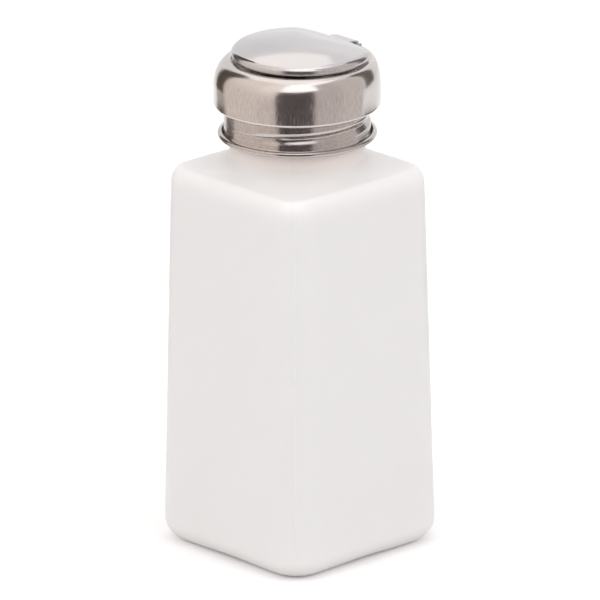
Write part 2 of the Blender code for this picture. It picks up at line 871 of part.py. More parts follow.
def make_bracket(material):
    """Hinge bracket: a plate riveted in the dish, with two ears that hold the pin."""
    bm = bmesh.new()
    middle = (bracket_front + bracket_rear) / 2
    place = Matrix.Translation((0, middle, (plate_bottom + plate_top) / 2))
    size = Matrix.Diagonal((2 * ear_outer, bracket_rear - bracket_front, sheet, 1))
    bmesh.ops.create_cube(bm, size=1, matrix=place @ size)
    bracket = add_object("hinge_bracket", bm, material)
    for side in (-1, 1):
        combine(bracket, make_ear(side), "UNION")
        combine(bracket, make_rivet_hole("bracket", side), "DIFFERENCE")
    tool = bmesh.new()
    place = Matrix.Translation((0, pin_row, pin_level)) @ Matrix.Rotation(math.pi / 2, 4, "Y")
    bmesh.ops.create_cone(tool, cap_ends=True, segments=fine_segments, radius1=knuckle_inner,
                          radius2=knuckle_inner, depth=2 * (ear_outer + overrun), matrix=place)
    combine(bracket, hide_tool(add_object("pin_hole", tool, tool_material)), "DIFFERENCE")
    return bracket


def make_ear(side):
    """One ear: from the plate's edge, leaning back and rounded about the pin."""
    outline = [(bracket_front + overrun, plate_bottom), (bracket_rear, plate_bottom)]
    for degrees in ear_arc_degrees:
        angle = math.radians(degrees)
        outline.append((pin_row + ear_radius * math.cos(angle), pin_level + ear_radius * math.sin(angle)))
    outline.append((bracket_front + overrun, plate_top + sheet))
    bm = bmesh.new()
    near = ear_inner if side > 0 else -ear_outer
    verts = [bm.verts.new((near, y, z)) for y, z in outline]
    face = bm.faces.new(verts)
    made = bmesh.ops.extrude_face_region(bm, geom=[face])
    moved = [item for item in made["geom"] if isinstance(item, bmesh.types.BMVert)]
    bmesh.ops.translate(bm, verts=moved, vec=(ear_thickness, 0, 0))
    return hide_tool(add_object(f"bracket_ear_{side}", bm, tool_material))


def make_pin(material):
    """Hinge pin, with a peened head outside each ear."""
    neck = ear_outer + gap
    end = neck + pin_head_height
    profile = [
        (pin_head_radius, -end),
        (pin_head_radius, -neck),
        (pin_radius, -neck),
        (pin_radius, neck),
        (pin_head_radius, neck),
        (pin_head_radius, end),
    ]
    pin = turn("hinge_pin", profile, material, fine_segments, closed=False)
    pin.data.transform(Matrix.Rotation(math.pi / 2, 4, "Y"))
    pin.location = (0, pin_row, pin_level)
    return pin


def make_rivet(name, side, material):
    """Rivet through the bracket's plate and the dish, headed on both sides."""
    shank_low = rivet_bottom + rivet_head_height
    shank_high = plate_top + gap
    profile = [
        (rivet_head_radius, rivet_bottom),
        (rivet_head_radius, shank_low),
        (rivet_radius, shank_low),
        (rivet_radius, shank_high),
        (rivet_head_radius, shank_high),
        (rivet_radius, shank_high + rivet_head_height),
    ]
    rivet = turn(name, profile, material, fine_segments, closed=False)
    rivet.location = (side * rivet_spacing / 2, rivet_row, 0)
    return rivet


def add_axis(name, place, pieces):
    """An empty on a joint's axis that carries the pieces of one moving body."""
    axis = bpy.data.objects.new(name, None)
    axis.location = place
    bpy.context.collection.objects.link(axis)
    for piece in pieces:
        piece.location = Vector(piece.location) - Vector(place)
        piece.parent = axis


clear_scene()
tool_material = make_material("cutters", (0.5, 0.5, 0.5), 0.5, 0)
polyethylene = make_material("natural_polyethylene", (0.86, 0.84, 0.83), 0.45, 0)
steel = make_material("satin_stainless_steel", (0.62, 0.59, 0.58), 0.28, 1)
polypropylene = make_material("white_polypropylene", (0.82, 0.82, 0.80), 0.4, 0)
clear_tube = make_material("tube_polyethylene", (0.75, 0.78, 0.78), 0.3, 0)
rubber = make_material("black_seal_rubber", (0.03, 0.03, 0.03), 0.7, 0)
spring_steel = make_material("spring_steel", (0.55, 0.55, 0.56), 0.25, 1)

make_bottle(polyethylene)
collar = make_collar(steel)
core = [
    make_gasket(rubber),
    make_housing(polypropylene),
    make_guide(polypropylene),
    make_seal("guide_seal", sliding_bore, seal_width, seal_bottom, seal_height, rubber),
    make_foot_valve(polypropylene),
    make_retainer(spring_steel),
    make_dip_tube(clear_tube),
    make_spring(spring_steel),
]
make_ball("inlet_ball", inlet_ball_radius, inlet_ball_level, spring_steel)

plunger = [
    make_piston(polypropylene),
    make_seal("piston_ring", piston_radius - piston_ring_width, piston_ring_width, ring_bottom,
              piston_ring_height, rubber),
]
head = [
    make_stem(steel),
    make_hub(polypropylene),
    make_dish(steel),
    make_nozzle(polypropylene),
    make_shell(steel),
    make_bracket(steel),
    make_pin(spring_steel),
    make_rivet("rivet_left", -1, steel),
    make_rivet("rivet_right", 1, steel),
]
make_ball("outlet_ball", outlet_ball_radius, outlet_ball_level, spring_steel)
make_lid(steel)

add_axis("pump_rise_axis", (0, 0, mouth_height), core)
add_axis("collar_turn_axis", (0, 0, bead_level), [collar])
add_axis("head_press_axis", (0, 0, piston_bottom), plunger)
add_axis("head_turn_axis", (0, 0, curl_level), head)
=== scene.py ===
"""Looks of the pump dispenser bottle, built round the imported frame.

The scene is in metres, +Z up, with the lid's hinge at +Y. Outlines of turned pieces are written in
millimetres: distance from the axis, height above the table and, third, the round of that corner.
"""
import math

import bmesh
import bpy
from mathutils import Matrix, Vector


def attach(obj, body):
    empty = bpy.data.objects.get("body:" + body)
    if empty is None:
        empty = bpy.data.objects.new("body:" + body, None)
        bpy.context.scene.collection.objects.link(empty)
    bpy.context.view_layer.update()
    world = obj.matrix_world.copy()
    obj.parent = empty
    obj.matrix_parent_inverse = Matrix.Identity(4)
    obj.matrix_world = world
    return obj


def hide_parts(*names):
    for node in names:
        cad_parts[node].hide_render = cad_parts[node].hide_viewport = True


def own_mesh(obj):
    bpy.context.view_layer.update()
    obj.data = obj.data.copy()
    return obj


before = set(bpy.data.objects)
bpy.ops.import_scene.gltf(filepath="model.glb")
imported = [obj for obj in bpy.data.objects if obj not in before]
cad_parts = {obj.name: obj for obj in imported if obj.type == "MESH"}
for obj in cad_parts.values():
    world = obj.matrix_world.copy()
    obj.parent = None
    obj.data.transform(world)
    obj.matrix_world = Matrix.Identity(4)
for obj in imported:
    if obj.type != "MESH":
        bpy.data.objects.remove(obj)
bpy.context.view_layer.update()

# Camera: a long lens three metres away, placed and turned as the bottle's outline in the
# photograph asks, and aimed near the middle of its height.
camera_azimuth = math.radians(47.08)
camera_elevation = math.radians(18.74)
camera_roll = math.radians(-0.345)
camera_distance = 2.9968
camera_lens = 665.94
camera_reach = 30
aim_height = 0.06813
aim_right = 0.000434

upwards = Vector((0, 0, 1))
flat_back = Vector((math.sin(camera_azimuth), -math.cos(camera_azimuth), 0))
camera_back = flat_back * math.cos(camera_elevation) + upwards * math.sin(camera_elevation)
camera_right = Vector((math.cos(camera_azimuth), math.sin(camera_azimuth), 0))
aim = camera_right * aim_right + upwards * aim_height
camera_turn = Matrix((camera_right, camera_back.cross(camera_right), camera_back)).transposed()
camera_data = bpy.data.cameras.new("camera")
camera_data.lens = camera_lens
camera_data.clip_end = camera_reach
camera = bpy.data.objects.new("camera", camera_data)
camera.matrix_world = (Matrix.Translation(aim + camera_back * camera_distance)
                       @ (camera_turn @ Matrix.Rotation(camera_roll, 3, "Z")).to_4x4())
bpy.context.collection.objects.link(camera)
bpy.context.scene.camera = camera
bpy.context.scene.view_settings.view_transform = "Standard"


# Studio: white paper in a white room, lamps that metal doesn't mirror, and cards that only metal
# mirrors: two tan walls beside the camera with a dark gap between them and dark strips at their far
# ends, a pale card behind the bottle, bright panels above the walls and a window's light overhead.
def hex_colour(text):
    """The linear colour that a shader takes, from sRGB hex."""
    shares = [int(text[start:start + 2], 16) / 255 for start in (0, 2, 4)]
    linear = [share / 12.92 if share <= 0.04045 else ((share + 0.055) / 1.055) ** 2.4 for share in shares]
    return (*linear, 1)


def add_node(tree, kind, settings=None, inputs=None):
    """Adds one node; an input is a plain value, or the socket that feeds it."""
    node = tree.nodes.new(kind)
    for name, value in (settings or {}).items():
        setattr(node, name, value)
    for name, value in (inputs or {}).items():
        if isinstance(value, bpy.types.NodeSocket):
            tree.links.new(value, node.inputs[name])
        else:
            node.inputs[name].default_value = value
    return node


def seen_directly(tree):
    """1 for rays from the camera, off metal or through plastic, and 0 for the light in the room."""
    paths = add_node(tree, "ShaderNodeLightPath")
    mirrored = add_node(tree, "ShaderNodeMath", {"operation": "MAXIMUM"},
                        {0: paths.outputs["Is Glossy Ray"], 1: paths.outputs["Is Transmission Ray"]})
    return add_node(tree, "ShaderNodeMath", {"operation": "MAXIMUM"},
                    {0: paths.outputs["Is Camera Ray"], 1: mirrored.outputs[0]}).outputs[0]


room_light = 0.80
world = bpy.data.worlds.new("white_room")
world.use_nodes = True
bpy.context.scene.world = world
room = add_node(world.node_tree, "ShaderNodeMapRange", {},
                {"Value": seen_directly(world.node_tree), "To Min": room_light, "To Max": 1.0})
sky = world.node_tree.nodes["Background"]
sky.inputs["Color"].default_value = hex_colour("FFFFFF")
world.node_tree.links.new(room.outputs[0], sky.inputs["Strength"])

floor_reach = 4.0
paper_lift = 0.12
floor_bm = bmesh.new()
bmesh.ops.create_grid(floor_bm, x_segments=1, y_segments=1, size=floor_reach)
floor_mesh = bpy.data.meshes.new("floor")
floor_bm.to_mesh(floor_mesh)
floor_bm.free()
floor = bpy.data.objects.new("floor", floor_mesh)
bpy.context.collection.objects.link(floor)
paper = bpy.data.materials.new("white_paper")
paper.use_nodes = True
tree = paper.node_tree
tree.nodes.clear()
# The room's light meets a greyer paper, which lights the bottle less from below. Where the paper is
# seen it is lifted to white, and only the shadow under the bottle stays
room_paper = add_node(tree, "ShaderNodeBsdfDiffuse", {}, {"Color": hex_colour("DADADA")})
lit_paper = add_node(tree, "ShaderNodeBsdfDiffuse", {}, {"Color": hex_colour("F4F4F4")})
paper_glow = add_node(tree, "ShaderNodeEmission", {}, {"Color": hex_colour("FFFFFF"), "Strength": paper_lift})
seen_paper = add_node(tree, "ShaderNodeAddShader", {},
                      {0: lit_paper.outputs[0], 1: paper_glow.outputs[0]})
mixed_paper = add_node(tree, "ShaderNodeMixShader", {},
                       {0: seen_directly(tree), 1: room_paper.outputs[0], 2: seen_paper.outputs[0]})
add_node(tree, "ShaderNodeOutputMaterial", {}, {"Surface": mixed_paper.outputs[0]})
floor_mesh.materials.append(paper)


def light_card(name, bm, colour, strength):
    """Makes a glowing card that only metal mirrors. Its strength is one value, or a ramp: the way it
    runs, the two places along it, and the two strengths."""
    mesh = bpy.data.meshes.new(name)
    bm.to_mesh(mesh)
    bm.free()
    card = bpy.data.objects.new(name, mesh)
    bpy.context.collection.objects.link(card)
    material = bpy.data.materials.new(name)
    material.use_nodes = True
    tree = material.node_tree
    tree.nodes.clear()
    glow = add_node(tree, "ShaderNodeEmission", {}, {"Color": hex_colour(colour)})
    if isinstance(strength, tuple):
        way, first, last, weak, strong = strength
        place = add_node(tree, "ShaderNodeTexCoord")
        along = add_node(tree, "ShaderNodeVectorMath", {"operation": "DOT_PRODUCT"},
                         {0: place.outputs["Object"], 1: way})
        ramp = add_node(tree, "ShaderNodeMapRange", {},
                        {"Value": along.outputs["Value"], "From Min": first, "From Max": last,
                         "To Min": weak, "To Max": strong})
        tree.links.new(ramp.outputs[0], glow.inputs["Strength"])
    else:
        glow.inputs["Strength"].default_value = strength
    add_node(tree, "ShaderNodeOutputMaterial", {}, {"Surface": glow.outputs[0]})
    mesh.materials.append(material)
    card.visible_camera = False
    card.visible_diffuse = False
    card.visible_shadow = False
    card.visible_transmission = False


wall_distance = 0.22
card_steps = 48
rounded_share = 0.25


def hang_card(name, turns, levels, colour, strength, radius=wall_distance, lean=0, rounded=0):
    """A curved card round the bottle, between two turns off the camera's side and two levels. Lean
    brings its top nearer, and rounded is the turn over which its top falls off at the far end."""
    bm = bmesh.new()
    low, high = levels
    ends = [bm.verts.new((radius, 0, low)), bm.verts.new((radius - lean, 0, high))]
    edge = bm.edges.new(ends)
    start = math.atan2(flat_back.y, flat_back.x) + math.radians(turns[0])
    bmesh.ops.rotate(bm, verts=ends, cent=(0, 0, 0), matrix=Matrix.Rotation(start, 3, "Z"))
    bmesh.ops.spin(bm, geom=[*ends, edge], cent=(0, 0, 0), axis=(0, 0, 1),
                   angle=math.radians(turns[1] - turns[0]), steps=card_steps)
    for vert in bm.verts:
        turn = (math.degrees(math.atan2(vert.co.y, vert.co.x) - start) + 180) % 360 - 180
        to_end = abs(abs(turns[1] - turns[0]) - abs(turn))
        if vert.co.z > (low + high) / 2 and to_end < rounded:
            fall = math.sqrt(1 - (1 - to_end / rounded) ** 2)
            vert.co.z = low + (high - low) * (rounded_share + (1 - rounded_share) * fall)
    light_card(name, bm, colour, strength)


def hang_panel(name, level, corners, colour, strength):
    """A flat panel overhead: its corners, by how far to the right of the bottle and behind it."""
    bm = bmesh.new()
    placed = [bm.verts.new(camera_right * to_right - flat_back * behind + upwards * level)
              for to_right, behind in corners]
    bmesh.ops.contextual_create(bm, geom=placed)
    light_card(name, bm, colour, strength)


hang_card("dark_gap", (-28.5, 22.5), (0.0, 0.277), "5A5254", 1.15)
hang_card("tan_wall_left_near", (-28.5, -58), (0.0, 0.778), "E9DFD8", (upwards, 0.12, 0.30, 0.98, 1.48))
hang_card("tan_wall_left_far", (-58, -115), (0.0, 0.778), "F2E8E0", (upwards, 0.16, 0.30, 0.97, 1.20),
          rounded=30)
hang_card("tan_wall_right_near", (22.5, 62), (0.0, 0.538), "CDC6C3", 1.08)
hang_card("tan_wall_right_far", (62, 99), (0.0, 0.538), "DBD4D0", 1.05, rounded=18)
hang_card("dark_edge_left", (-115, -141), (0.079, 0.391), "645C52", 0.75)
hang_card("grey_foot_left", (-115, -141), (0.054, 0.079), "DCD4CC", 0.80)
hang_card("dark_foot_left", (-112, -143), (0.0, 0.054), "4A4440", 0.75)
hang_card("dark_foot_right", (102, 140), (0.0, 0.049), "4A4440", 0.75)
hang_card("dark_edge_right", (103, 128), (0.11, 0.391), "7A726C", 0.90)
hang_card("bright_front", (-26, 30), (0.277, 0.578), "FFFFFF", 1.75, lean=0.107)
hang_card("bright_right", (30, 112), (0.551, 0.911), "FFFFFF", 1.55, lean=0.133)
hang_card("shaded_back", (155, 205), (0.15, 0.72), "FFFFFF", (camera_right, -0.12, 0.12, 0.92, 1.08),
          radius=0.90)
hang_panel("window_overhead", 0.94, ((-0.60, -0.16), (0.20, -0.16), (0.16, 1.04), (-0.34, 1.12)),
           "FFFDFA", 1.36)


def hang_lamp(name, ahead, to_right, level, width, power, colour):
    """A soft round lamp aimed at the middle of the bottle, which metal doesn't mirror."""
    data = bpy.data.lights.new(name, "AREA")
    data.shape = "DISK"
    data.size = width
    data.energy = power
    data.color = hex_colour(colour)[:3]
    lamp = bpy.data.objects.new(name, data)
    lamp.location = flat_back * ahead + camera_right * to_right + upwards * level
    lamp.rotation_euler = (lamp.location - aim).to_track_quat("Z", "Y").to_euler()
    lamp.visible_glossy = False
    bpy.context.collection.objects.link(lamp)


hang_lamp("left_lamp", 0.6, -0.9, 0.9, width=0.8, power=3.3, colour="FFFDFB")
hang_lamp("right_lamp", 0.6, 0.9, 0.9, width=0.8, power=3.6, colour="FFFEFE")
hang_lamp("top_lamp", 0.0, 0.0, 1.3, width=0.9, power=2.1, colour="FFFFFF")
hang_lamp("front_lamp", 1.3, 0.0, 0.85, width=0.6, power=0.9, colour="FAFCFF")


# Bottle: natural high-density polyethylene, blow-moulded in two halves that part on the diagonal
# through its front corner, so a faint parting line runs up that corner, over the shoulder and the
# neck. It is milky and soft to the light, with the fine frosted skin of a blasted mould.
bottle_half = (28.5, 26.1)
bottle_corner = (8.5, 7.0)
bottle_levels = {"heel": 6.8, "edge": 101.4, "shoulder": 106.4, "root": 110.0, "mouth": 123.0}
heel_inset = 6.0
edge_inset = 3.0
foot_width = 5.0
foot_rows = (0.4, 2.5, foot_width - 0.4)
push_up = 1.4
push_up_slope = 4.0
push_up_rows = (1.0, 3.0)
heel_arch = 0.4
arch_spread = 33
edge_rise = bottle_levels["shoulder"] - bottle_levels["edge"]
shoulder_bow = (0.90, 0.20)
neck_radius = 18.3
neck_rows = (112.0, 114.0, 115.6)
thread_root = 17.4
thread_gap = 0.9
thread_rows = 30
mouth_round, mouth_chamfer = 0.4, 0.12
bore_radius, bore_round = 15.8, 0.3
bore_rows = (116.0, 110.5)
bottle_wall = 1.3
wall_rows = (80.0, 60.0, 40.0, 20.0, 9.0)
heel_fill = 0.6
parting_ridge = 0.12
parting_reach = 0.35
push_up_steps = 6
round_steps = 12
side_steps = 25
shoulder_steps = 14
inner_round_steps = 8
inner_shoulder_steps = 10
quarter_steps = 36
corner_crowding = 7.0
sharp_from = math.radians(40)
flow_cloud, grit_per_mm = 25.0, 2.8
# Levels over which the neck's painted shade comes in, in millimetres
neck_shade_rows = (107.5, 111.5)


def natural_polyethylene():
    """Milky polyethylene off a frosted mould: light sinks in and comes out softened."""
    material = bpy.data.materials.new("natural_polyethylene_moulded")
    material.use_nodes = True
    tree = material.node_tree
    shader = tree.nodes["Principled BSDF"]
    place = add_node(tree, "ShaderNodeTexCoord")
    # Flow of the parison: broad, faint clouds of thicker and thinner wall
    cloud = add_node(tree, "ShaderNodeTexNoise", {}, {"Vector": place.outputs["Object"], "Detail": 2.0,
                                                      "Roughness": 0.5, "Scale": 1000 / flow_cloud})
    tint = add_node(tree, "ShaderNodeMix", {"data_type": "RGBA"},
                    {"Factor": cloud.outputs[0], 6: hex_colour("F8F0ED"), 7: hex_colour("FCF4F2")})
    # Painted shade: the neck is tinted darker and warmer from its root upwards, for the shade under the
    # collar and head
    height = add_node(tree, "ShaderNodeSeparateXYZ", {}, {0: place.outputs["Object"]})
    neck = add_node(tree, "ShaderNodeMapRange", {"interpolation_type": "SMOOTHSTEP"},
                    {"Value": height.outputs[2], "From Min": neck_shade_rows[0] / 1000,
                     "From Max": neck_shade_rows[1] / 1000, "To Max": 0.75})
    shaded = add_node(tree, "ShaderNodeMix", {"data_type": "RGBA"},
                      {"Factor": neck.outputs[0], 6: tint.outputs[2], 7: hex_colour("E4D8D2")})
    tree.links.new(shaded.outputs[2], shader.inputs["Base Color"])
    # Blasted skin of the mould, which blurs what it mirrors. Its grit is drawn coarse enough to show
    grit = add_node(tree, "ShaderNodeTexNoise", {}, {"Vector": place.outputs["Object"], "Detail": 1.0,
                                                     "Scale": 1000 * grit_per_mm})
    skin = add_node(tree, "ShaderNodeMapRange", {}, {"Value": grit.outputs[0], "From Min": 0.3,
                                                     "From Max": 0.7, "To Min": 0.40, "To Max": 0.50})
    tree.links.new(skin.outputs[0], shader.inputs["Roughness"])
    relief = add_node(tree, "ShaderNodeBump", {}, {"Height": grit.outputs[0], "Strength": 0.25,
                                                   "Distance": 0.00002})
    tree.links.new(relief.outputs[0], shader.inputs["Normal"])
    shader.inputs["IOR"].default_value = 1.5
    shader.inputs["Subsurface Weight"].default_value = 0.6
    shader.inputs["Subsurface Radius"].default_value = (1.0, 0.9, 0.85)
    shader.inputs["Subsurface Scale"].default_value = 0.004
    return material


def square_reach(angle, half, corner):
    """Distance from the axis to the outline of a rounded square, in one direction."""
    turn = abs((angle + math.pi / 4) % (math.pi / 2) - math.pi / 4)
    flat = half - corner
    if half * math.tan(turn) <= flat:
        return half / math.cos(turn)
    along = flat * (math.cos(turn) + math.sin(turn))
    return along + math.sqrt(max(along ** 2 - 2 * flat ** 2 + corner ** 2, 0))


def ring_angles():
    """Directions of a ring's points: crowded into corners, with one more on each side of a parting line."""
    angles = []
    for step in range(4 * quarter_steps):
        share = step / quarter_steps
        angles.append(90 * share + corner_crowding * math.sin(2 * math.pi * share))
    for diagonal in (135, 315):
        angles += [diagonal - parting_reach, diagonal + parting_reach]
    return [math.radians(angle) for angle in sorted(angles)]


def shape_ring(verts, half, corner, level, arch=0.0, ridge=0.0):
    """Moves one ring onto its rounded square; arch lifts each side's middle, and ridge the parting line."""
    for vert in verts:
        angle = math.atan2(vert.co.y, vert.co.x)
        reach = square_reach(angle, half, min(corner, half))
        side = abs((math.degrees(angle) + 45) % 90 - 45)
        if abs(side - 45) < 0.01 and vert.co.x * vert.co.y < 0:
            reach += ridge
        lift = arch * math.cos(math.pi / 2 * min(side / arch_spread, 1)) ** 2
        vert.co = (reach * math.cos(angle) / 1000, reach * math.sin(angle) / 1000, (level + lift) / 1000)


def grow_edges(bm, edges):
    """Pulls a row of faces out of some edges, and gives the row's far points and far edges."""
    grown = bmesh.ops.extrude_edge_only(bm, edges=edges)["geom"]
    verts = [item for item in grown if isinstance(item, bmesh.types.BMVert)]
    far = [item for item in grown if isinstance(item, bmesh.types.BMEdge)
           and item.verts[0] in verts and item.verts[1] in verts]
    return verts, far


def new_piece(name, bm, material, body, slot, *nodes):
    """Hands a finished mesh to the scene in place of its CAD nodes, riding on their body."""
    mesh = bpy.data.meshes.new(name)
    bm.to_mesh(mesh)
    bm.free()
    mesh.shade_smooth()
    mesh.set_sharp_from_angle(angle=sharp_from)
    mesh.materials.append(material)
    piece = bpy.data.objects.new(name, mesh)
    bpy.context.collection.objects.link(piece)
    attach(piece, body)
    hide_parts(*nodes)
    return piece


def between(pair, share):
    """A size that runs evenly from the first of a pair to the second."""
    return pair[0] + (pair[1] - pair[0]) * share


def bowed(pull, share):
    """How far a curve from 0 to 1 has come at a share of its run, when its middle is pulled."""
    return 2 * share * (1 - share) * pull + share ** 2


def body_ring(level, wall=0.0):
    """Half width and corner of the tapered body, whose pairs are at the table and at the shoulder."""
    share = level / bottle_levels["shoulder"]
    return between(bottle_half, share) - wall, between(bottle_corner, share) - wall


foot_half = bottle_half[0] - heel_inset
foot_corner = bottle_corner[0] * foot_half / bottle_half[0]
foot_inner = foot_half - foot_width
floor_half = foot_inner - push_up_slope
thread_low = neck_rows[-1] + thread_gap
mouth = bottle_levels["mouth"]
thread_high = mouth - mouth_round

# Rings of the outer skin, from the middle of the floor up to the lip: half width, corner, level, arch
rings = [(push_up_rows[0], push_up_rows[0], push_up, 0),
         (floor_half - push_up_rows[1], foot_corner, push_up, 0), (floor_half, foot_corner, push_up, 0)]
for step in range(1, push_up_steps):
    share = step / push_up_steps
    fall = math.sin(math.pi / 2 * share) ** 2
    rings.append((floor_half + push_up_slope * share, foot_corner, push_up * (1 - fall), heel_arch * share))
ridge_start = len(rings)
rings += [(foot_inner + width, foot_corner, 0, heel_arch) for width in foot_rows]
for step in range(round_steps + 1):
    angle = math.pi / 2 * step / round_steps
    level = bottle_levels["heel"] * (1 - math.cos(angle))
    half = body_ring(level)[0] - heel_inset * (1 - math.sin(angle))
    corner = between((foot_corner, body_ring(level)[1]), step / round_steps)
    rings.append((half, corner, level, heel_arch * (1 - step / round_steps)))
for step in range(1, side_steps):
    level = between((bottle_levels["heel"], bottle_levels["edge"]), step / side_steps)
    rings.append((*body_ring(level), level, 0))
for step in range(round_steps + 1):
    angle = math.pi / 2 * step / round_steps
    level = bottle_levels["edge"] + edge_rise * math.sin(angle)
    half, corner = body_ring(level)
    inset = edge_inset * (1 - math.cos(angle))
    rings.append((half - inset, corner - inset, level, 0))
edge_half, edge_corner = rings[-1][:2]
for step in range(1, shoulder_steps + 1):
    inward, upward = (bowed(pull, step / shoulder_steps) for pull in shoulder_bow)
    level = between((bottle_levels["shoulder"], bottle_levels["root"]), upward)
    rings.append((between((edge_half, neck_radius), inward), between((edge_corner, neck_radius), inward),
                  level, 0))
rings += [(neck_radius, neck_radius, level, 0) for level in neck_rows]
for row in range(thread_rows + 1):
    rings.append((thread_root, thread_root, between((thread_low, thread_high), row / thread_rows), 0))
rings += [(thread_root - mouth_chamfer, thread_root, mouth - mouth_chamfer, 0),
          (thread_root - mouth_round, thread_root, mouth, 0)]
ridge_end = len(rings)

# Rings of the inner skin, from the lip down to the middle of the floor
rings += [(bore_radius + bore_round, bore_radius, mouth, 0),
          (bore_radius, bore_radius, mouth - bore_round, 0)]
rings += [(bore_radius, bore_radius, level, 0) for level in bore_rows]
for step in range(1, inner_shoulder_steps + 1):
    downward, inward = (bowed(pull, step / inner_shoulder_steps) for pull in shoulder_bow)
    level = between((bore_rows[-1], bottle_levels["shoulder"] - bottle_wall), downward)
    rings.append((between((bore_radius, edge_half), inward), between((bore_radius, edge_corner), inward),
                  level, 0))
for step in range(1, inner_round_steps + 1):
    angle = math.pi / 2 * step / inner_round_steps
    level = bottle_levels["edge"] - bottle_wall + edge_rise * math.cos(angle)
    half, corner = body_ring(level, bottle_wall)
    inset = (edge_inset - bottle_wall) * (1 - math.sin(angle))
    rings.append((half - inset, corner - inset, level, 0))
rings += [(*body_ring(level, bottle_wall), level, 0) for level in wall_rows]
for step in range(1, inner_round_steps + 1):
    angle = math.pi / 2 * step / inner_round_steps
    level = between((bottle_wall, wall_rows[-1]), 1 - math.sin(angle))
    half = body_ring(level)[0] - bottle_wall - (heel_inset - heel_fill) * (1 - math.cos(angle))
    corner = between((bottle_corner[0], foot_corner), step / inner_round_steps) - bottle_wall
    rings.append((half, corner, level + heel_arch * step / inner_round_steps, 0))
rings += [(foot_inner, foot_corner, bottle_wall + heel_arch, 0),
          (floor_half, foot_corner, push_up + bottle_wall, 0)]

bottle_bm = bmesh.new()
directions = ring_angles()
made = bmesh.ops.create_circle(bottle_bm, segments=len(directions), radius=push_up_rows[0] / 1000)
for vert, angle in zip(made["verts"], directions):
    vert.co = (math.cos(angle), math.sin(angle), 0)
shape_ring(made["verts"], *rings[0])
bmesh.ops.edgeloop_fill(bottle_bm, edges=bottle_bm.edges)
edges = list(bottle_bm.edges)
for index, ring in enumerate(rings[1:], start=1):
    verts, edges = grow_edges(bottle_bm, edges)
    shape_ring(verts, *ring, parting_ridge if ridge_start <= index < ridge_end else 0)
bmesh.ops.edgeloop_fill(bottle_bm, edges=edges)

thread_pitch = 4.23


def roll_thread(verts, start, turn, level, depth, half_width, fade, rows):
    """Moves points in or out along a right-handed helix that runs out softly at both ends. Start, turn
    and fade are in degrees, and the helix is at its level where it starts."""
    for vert in verts:
        height = vert.co.z * 1000
        if not rows[0] <= height <= rows[1]:
            continue
        along = (math.degrees(math.atan2(vert.co.y, vert.co.x)) - start) % 360
        if along > turn:
            continue
        off = abs(height - level - thread_pitch * along / 360) / half_width
        if off >= 1:
            continue
        run_out = min(1, along / fade, (turn - along) / fade)
        shift = depth * math.sin(math.pi / 2 * run_out) * (0.5 + 0.5 * math.cos(math.pi * off))
        vert.co.xy = vert.co.xy.normalized() * (vert.co.xy.length + shift / 1000)


outer_neck = [vert for vert in bottle_bm.verts if vert.co.xy.length * 1000 > (bore_radius + thread_root) / 2]
roll_thread(outer_neck, start=-120, turn=200, level=119.35, depth=1.2, half_width=0.9, fade=22,
            rows=(thread_low, thread_high))
bmesh.ops.recalc_face_normals(bottle_bm, faces=bottle_bm.faces)
polyethylene = natural_polyethylene()
new_piece("bottle_blow_moulded", bottle_bm, polyethylene, "bottle", "natural_polyethylene", "bottle")


# Gasket, guide seal and piston ring: black fluoro rubber, moulded, dull, with softly rounded edges.
# The gasket lies on the bottle's mouth, and the two rings seal the stem and the piston.
def turned(outline, steps=96):
    """A solid of revolution from the corners of its section, each with its own round."""
    bm = bmesh.new()
    corners = [bm.verts.new((radius / 1000, 0, level / 1000)) for radius, level, *_ in outline]
    bm.faces.new(corners)
    for vert, (_, _, *round_off) in zip(corners, outline):
        if round_off:
            bmesh.ops.bevel(bm, geom=[vert], offset=round_off[0] / 1000, offset_type="OFFSET",
                            affect="VERTICES", segments=4, profile=0.5, material=-1)
    bmesh.ops.delete(bm, geom=list(bm.faces), context="FACES_ONLY")
    on_axis = [edge for edge in bm.edges if all(vert.co.x < 1e-7 for vert in edge.verts)]
    bmesh.ops.delete(bm, geom=on_axis, context="EDGES")
    bmesh.ops.spin(bm, geom=[*bm.verts, *bm.edges], cent=(0, 0, 0), axis=(0, 0, 1),
                   angle=2 * math.pi, steps=steps, use_merge=True)
    bmesh.ops.remove_doubles(bm, verts=bm.verts, dist=1e-7)
    bmesh.ops.recalc_face_normals(bm, faces=bm.faces)
    return bm


def ring_section(inner, outer, low, high, round_off):
    """The four corners of a plain ring or tube."""
    return [(inner, low, round_off), (outer, low, round_off),
            (outer, high, round_off), (inner, high, round_off)]


def plain_finish(name, colours, roughness, grain_mm, relief_mm, metallic=0.0, sunk=0.0):
    """A finish of two close tones and a fine grain, for rubber, plastic and ground steel. The grain is
    drawn coarser than the real one, so that it shows and breaks the highlights up a little."""
    material = bpy.data.materials.new(name)
    material.use_nodes = True
    tree = material.node_tree
    shader = tree.nodes["Principled BSDF"]
    place = add_node(tree, "ShaderNodeTexCoord")
    grain = add_node(tree, "ShaderNodeTexNoise", {}, {"Vector": place.outputs["Object"],
                                                      "Scale": 1000 / grain_mm, "Detail": 3.0})
    tint = add_node(tree, "ShaderNodeMix", {"data_type": "RGBA"},
                    {"Factor": grain.outputs[0], 6: hex_colour(colours[0]), 7: hex_colour(colours[1])})
    tree.links.new(tint.outputs[2], shader.inputs["Base Color"])
    gloss = add_node(tree, "ShaderNodeMapRange", {},
                     {"Value": grain.outputs[0], "From Min": 0.3, "From Max": 0.7,
                      "To Min": roughness[0], "To Max": roughness[1]})
    tree.links.new(gloss.outputs[0], shader.inputs["Roughness"])
    relief = add_node(tree, "ShaderNodeBump", {}, {"Height": grain.outputs[0], "Strength": 0.5,
                                                   "Distance": relief_mm / 1000})
    tree.links.new(relief.outputs[0], shader.inputs["Normal"])
    shader.inputs["Metallic"].default_value = metallic
    shader.inputs["Subsurface Weight"].default_value = sunk
    shader.inputs["Subsurface Scale"].default_value = 0.001
    return material


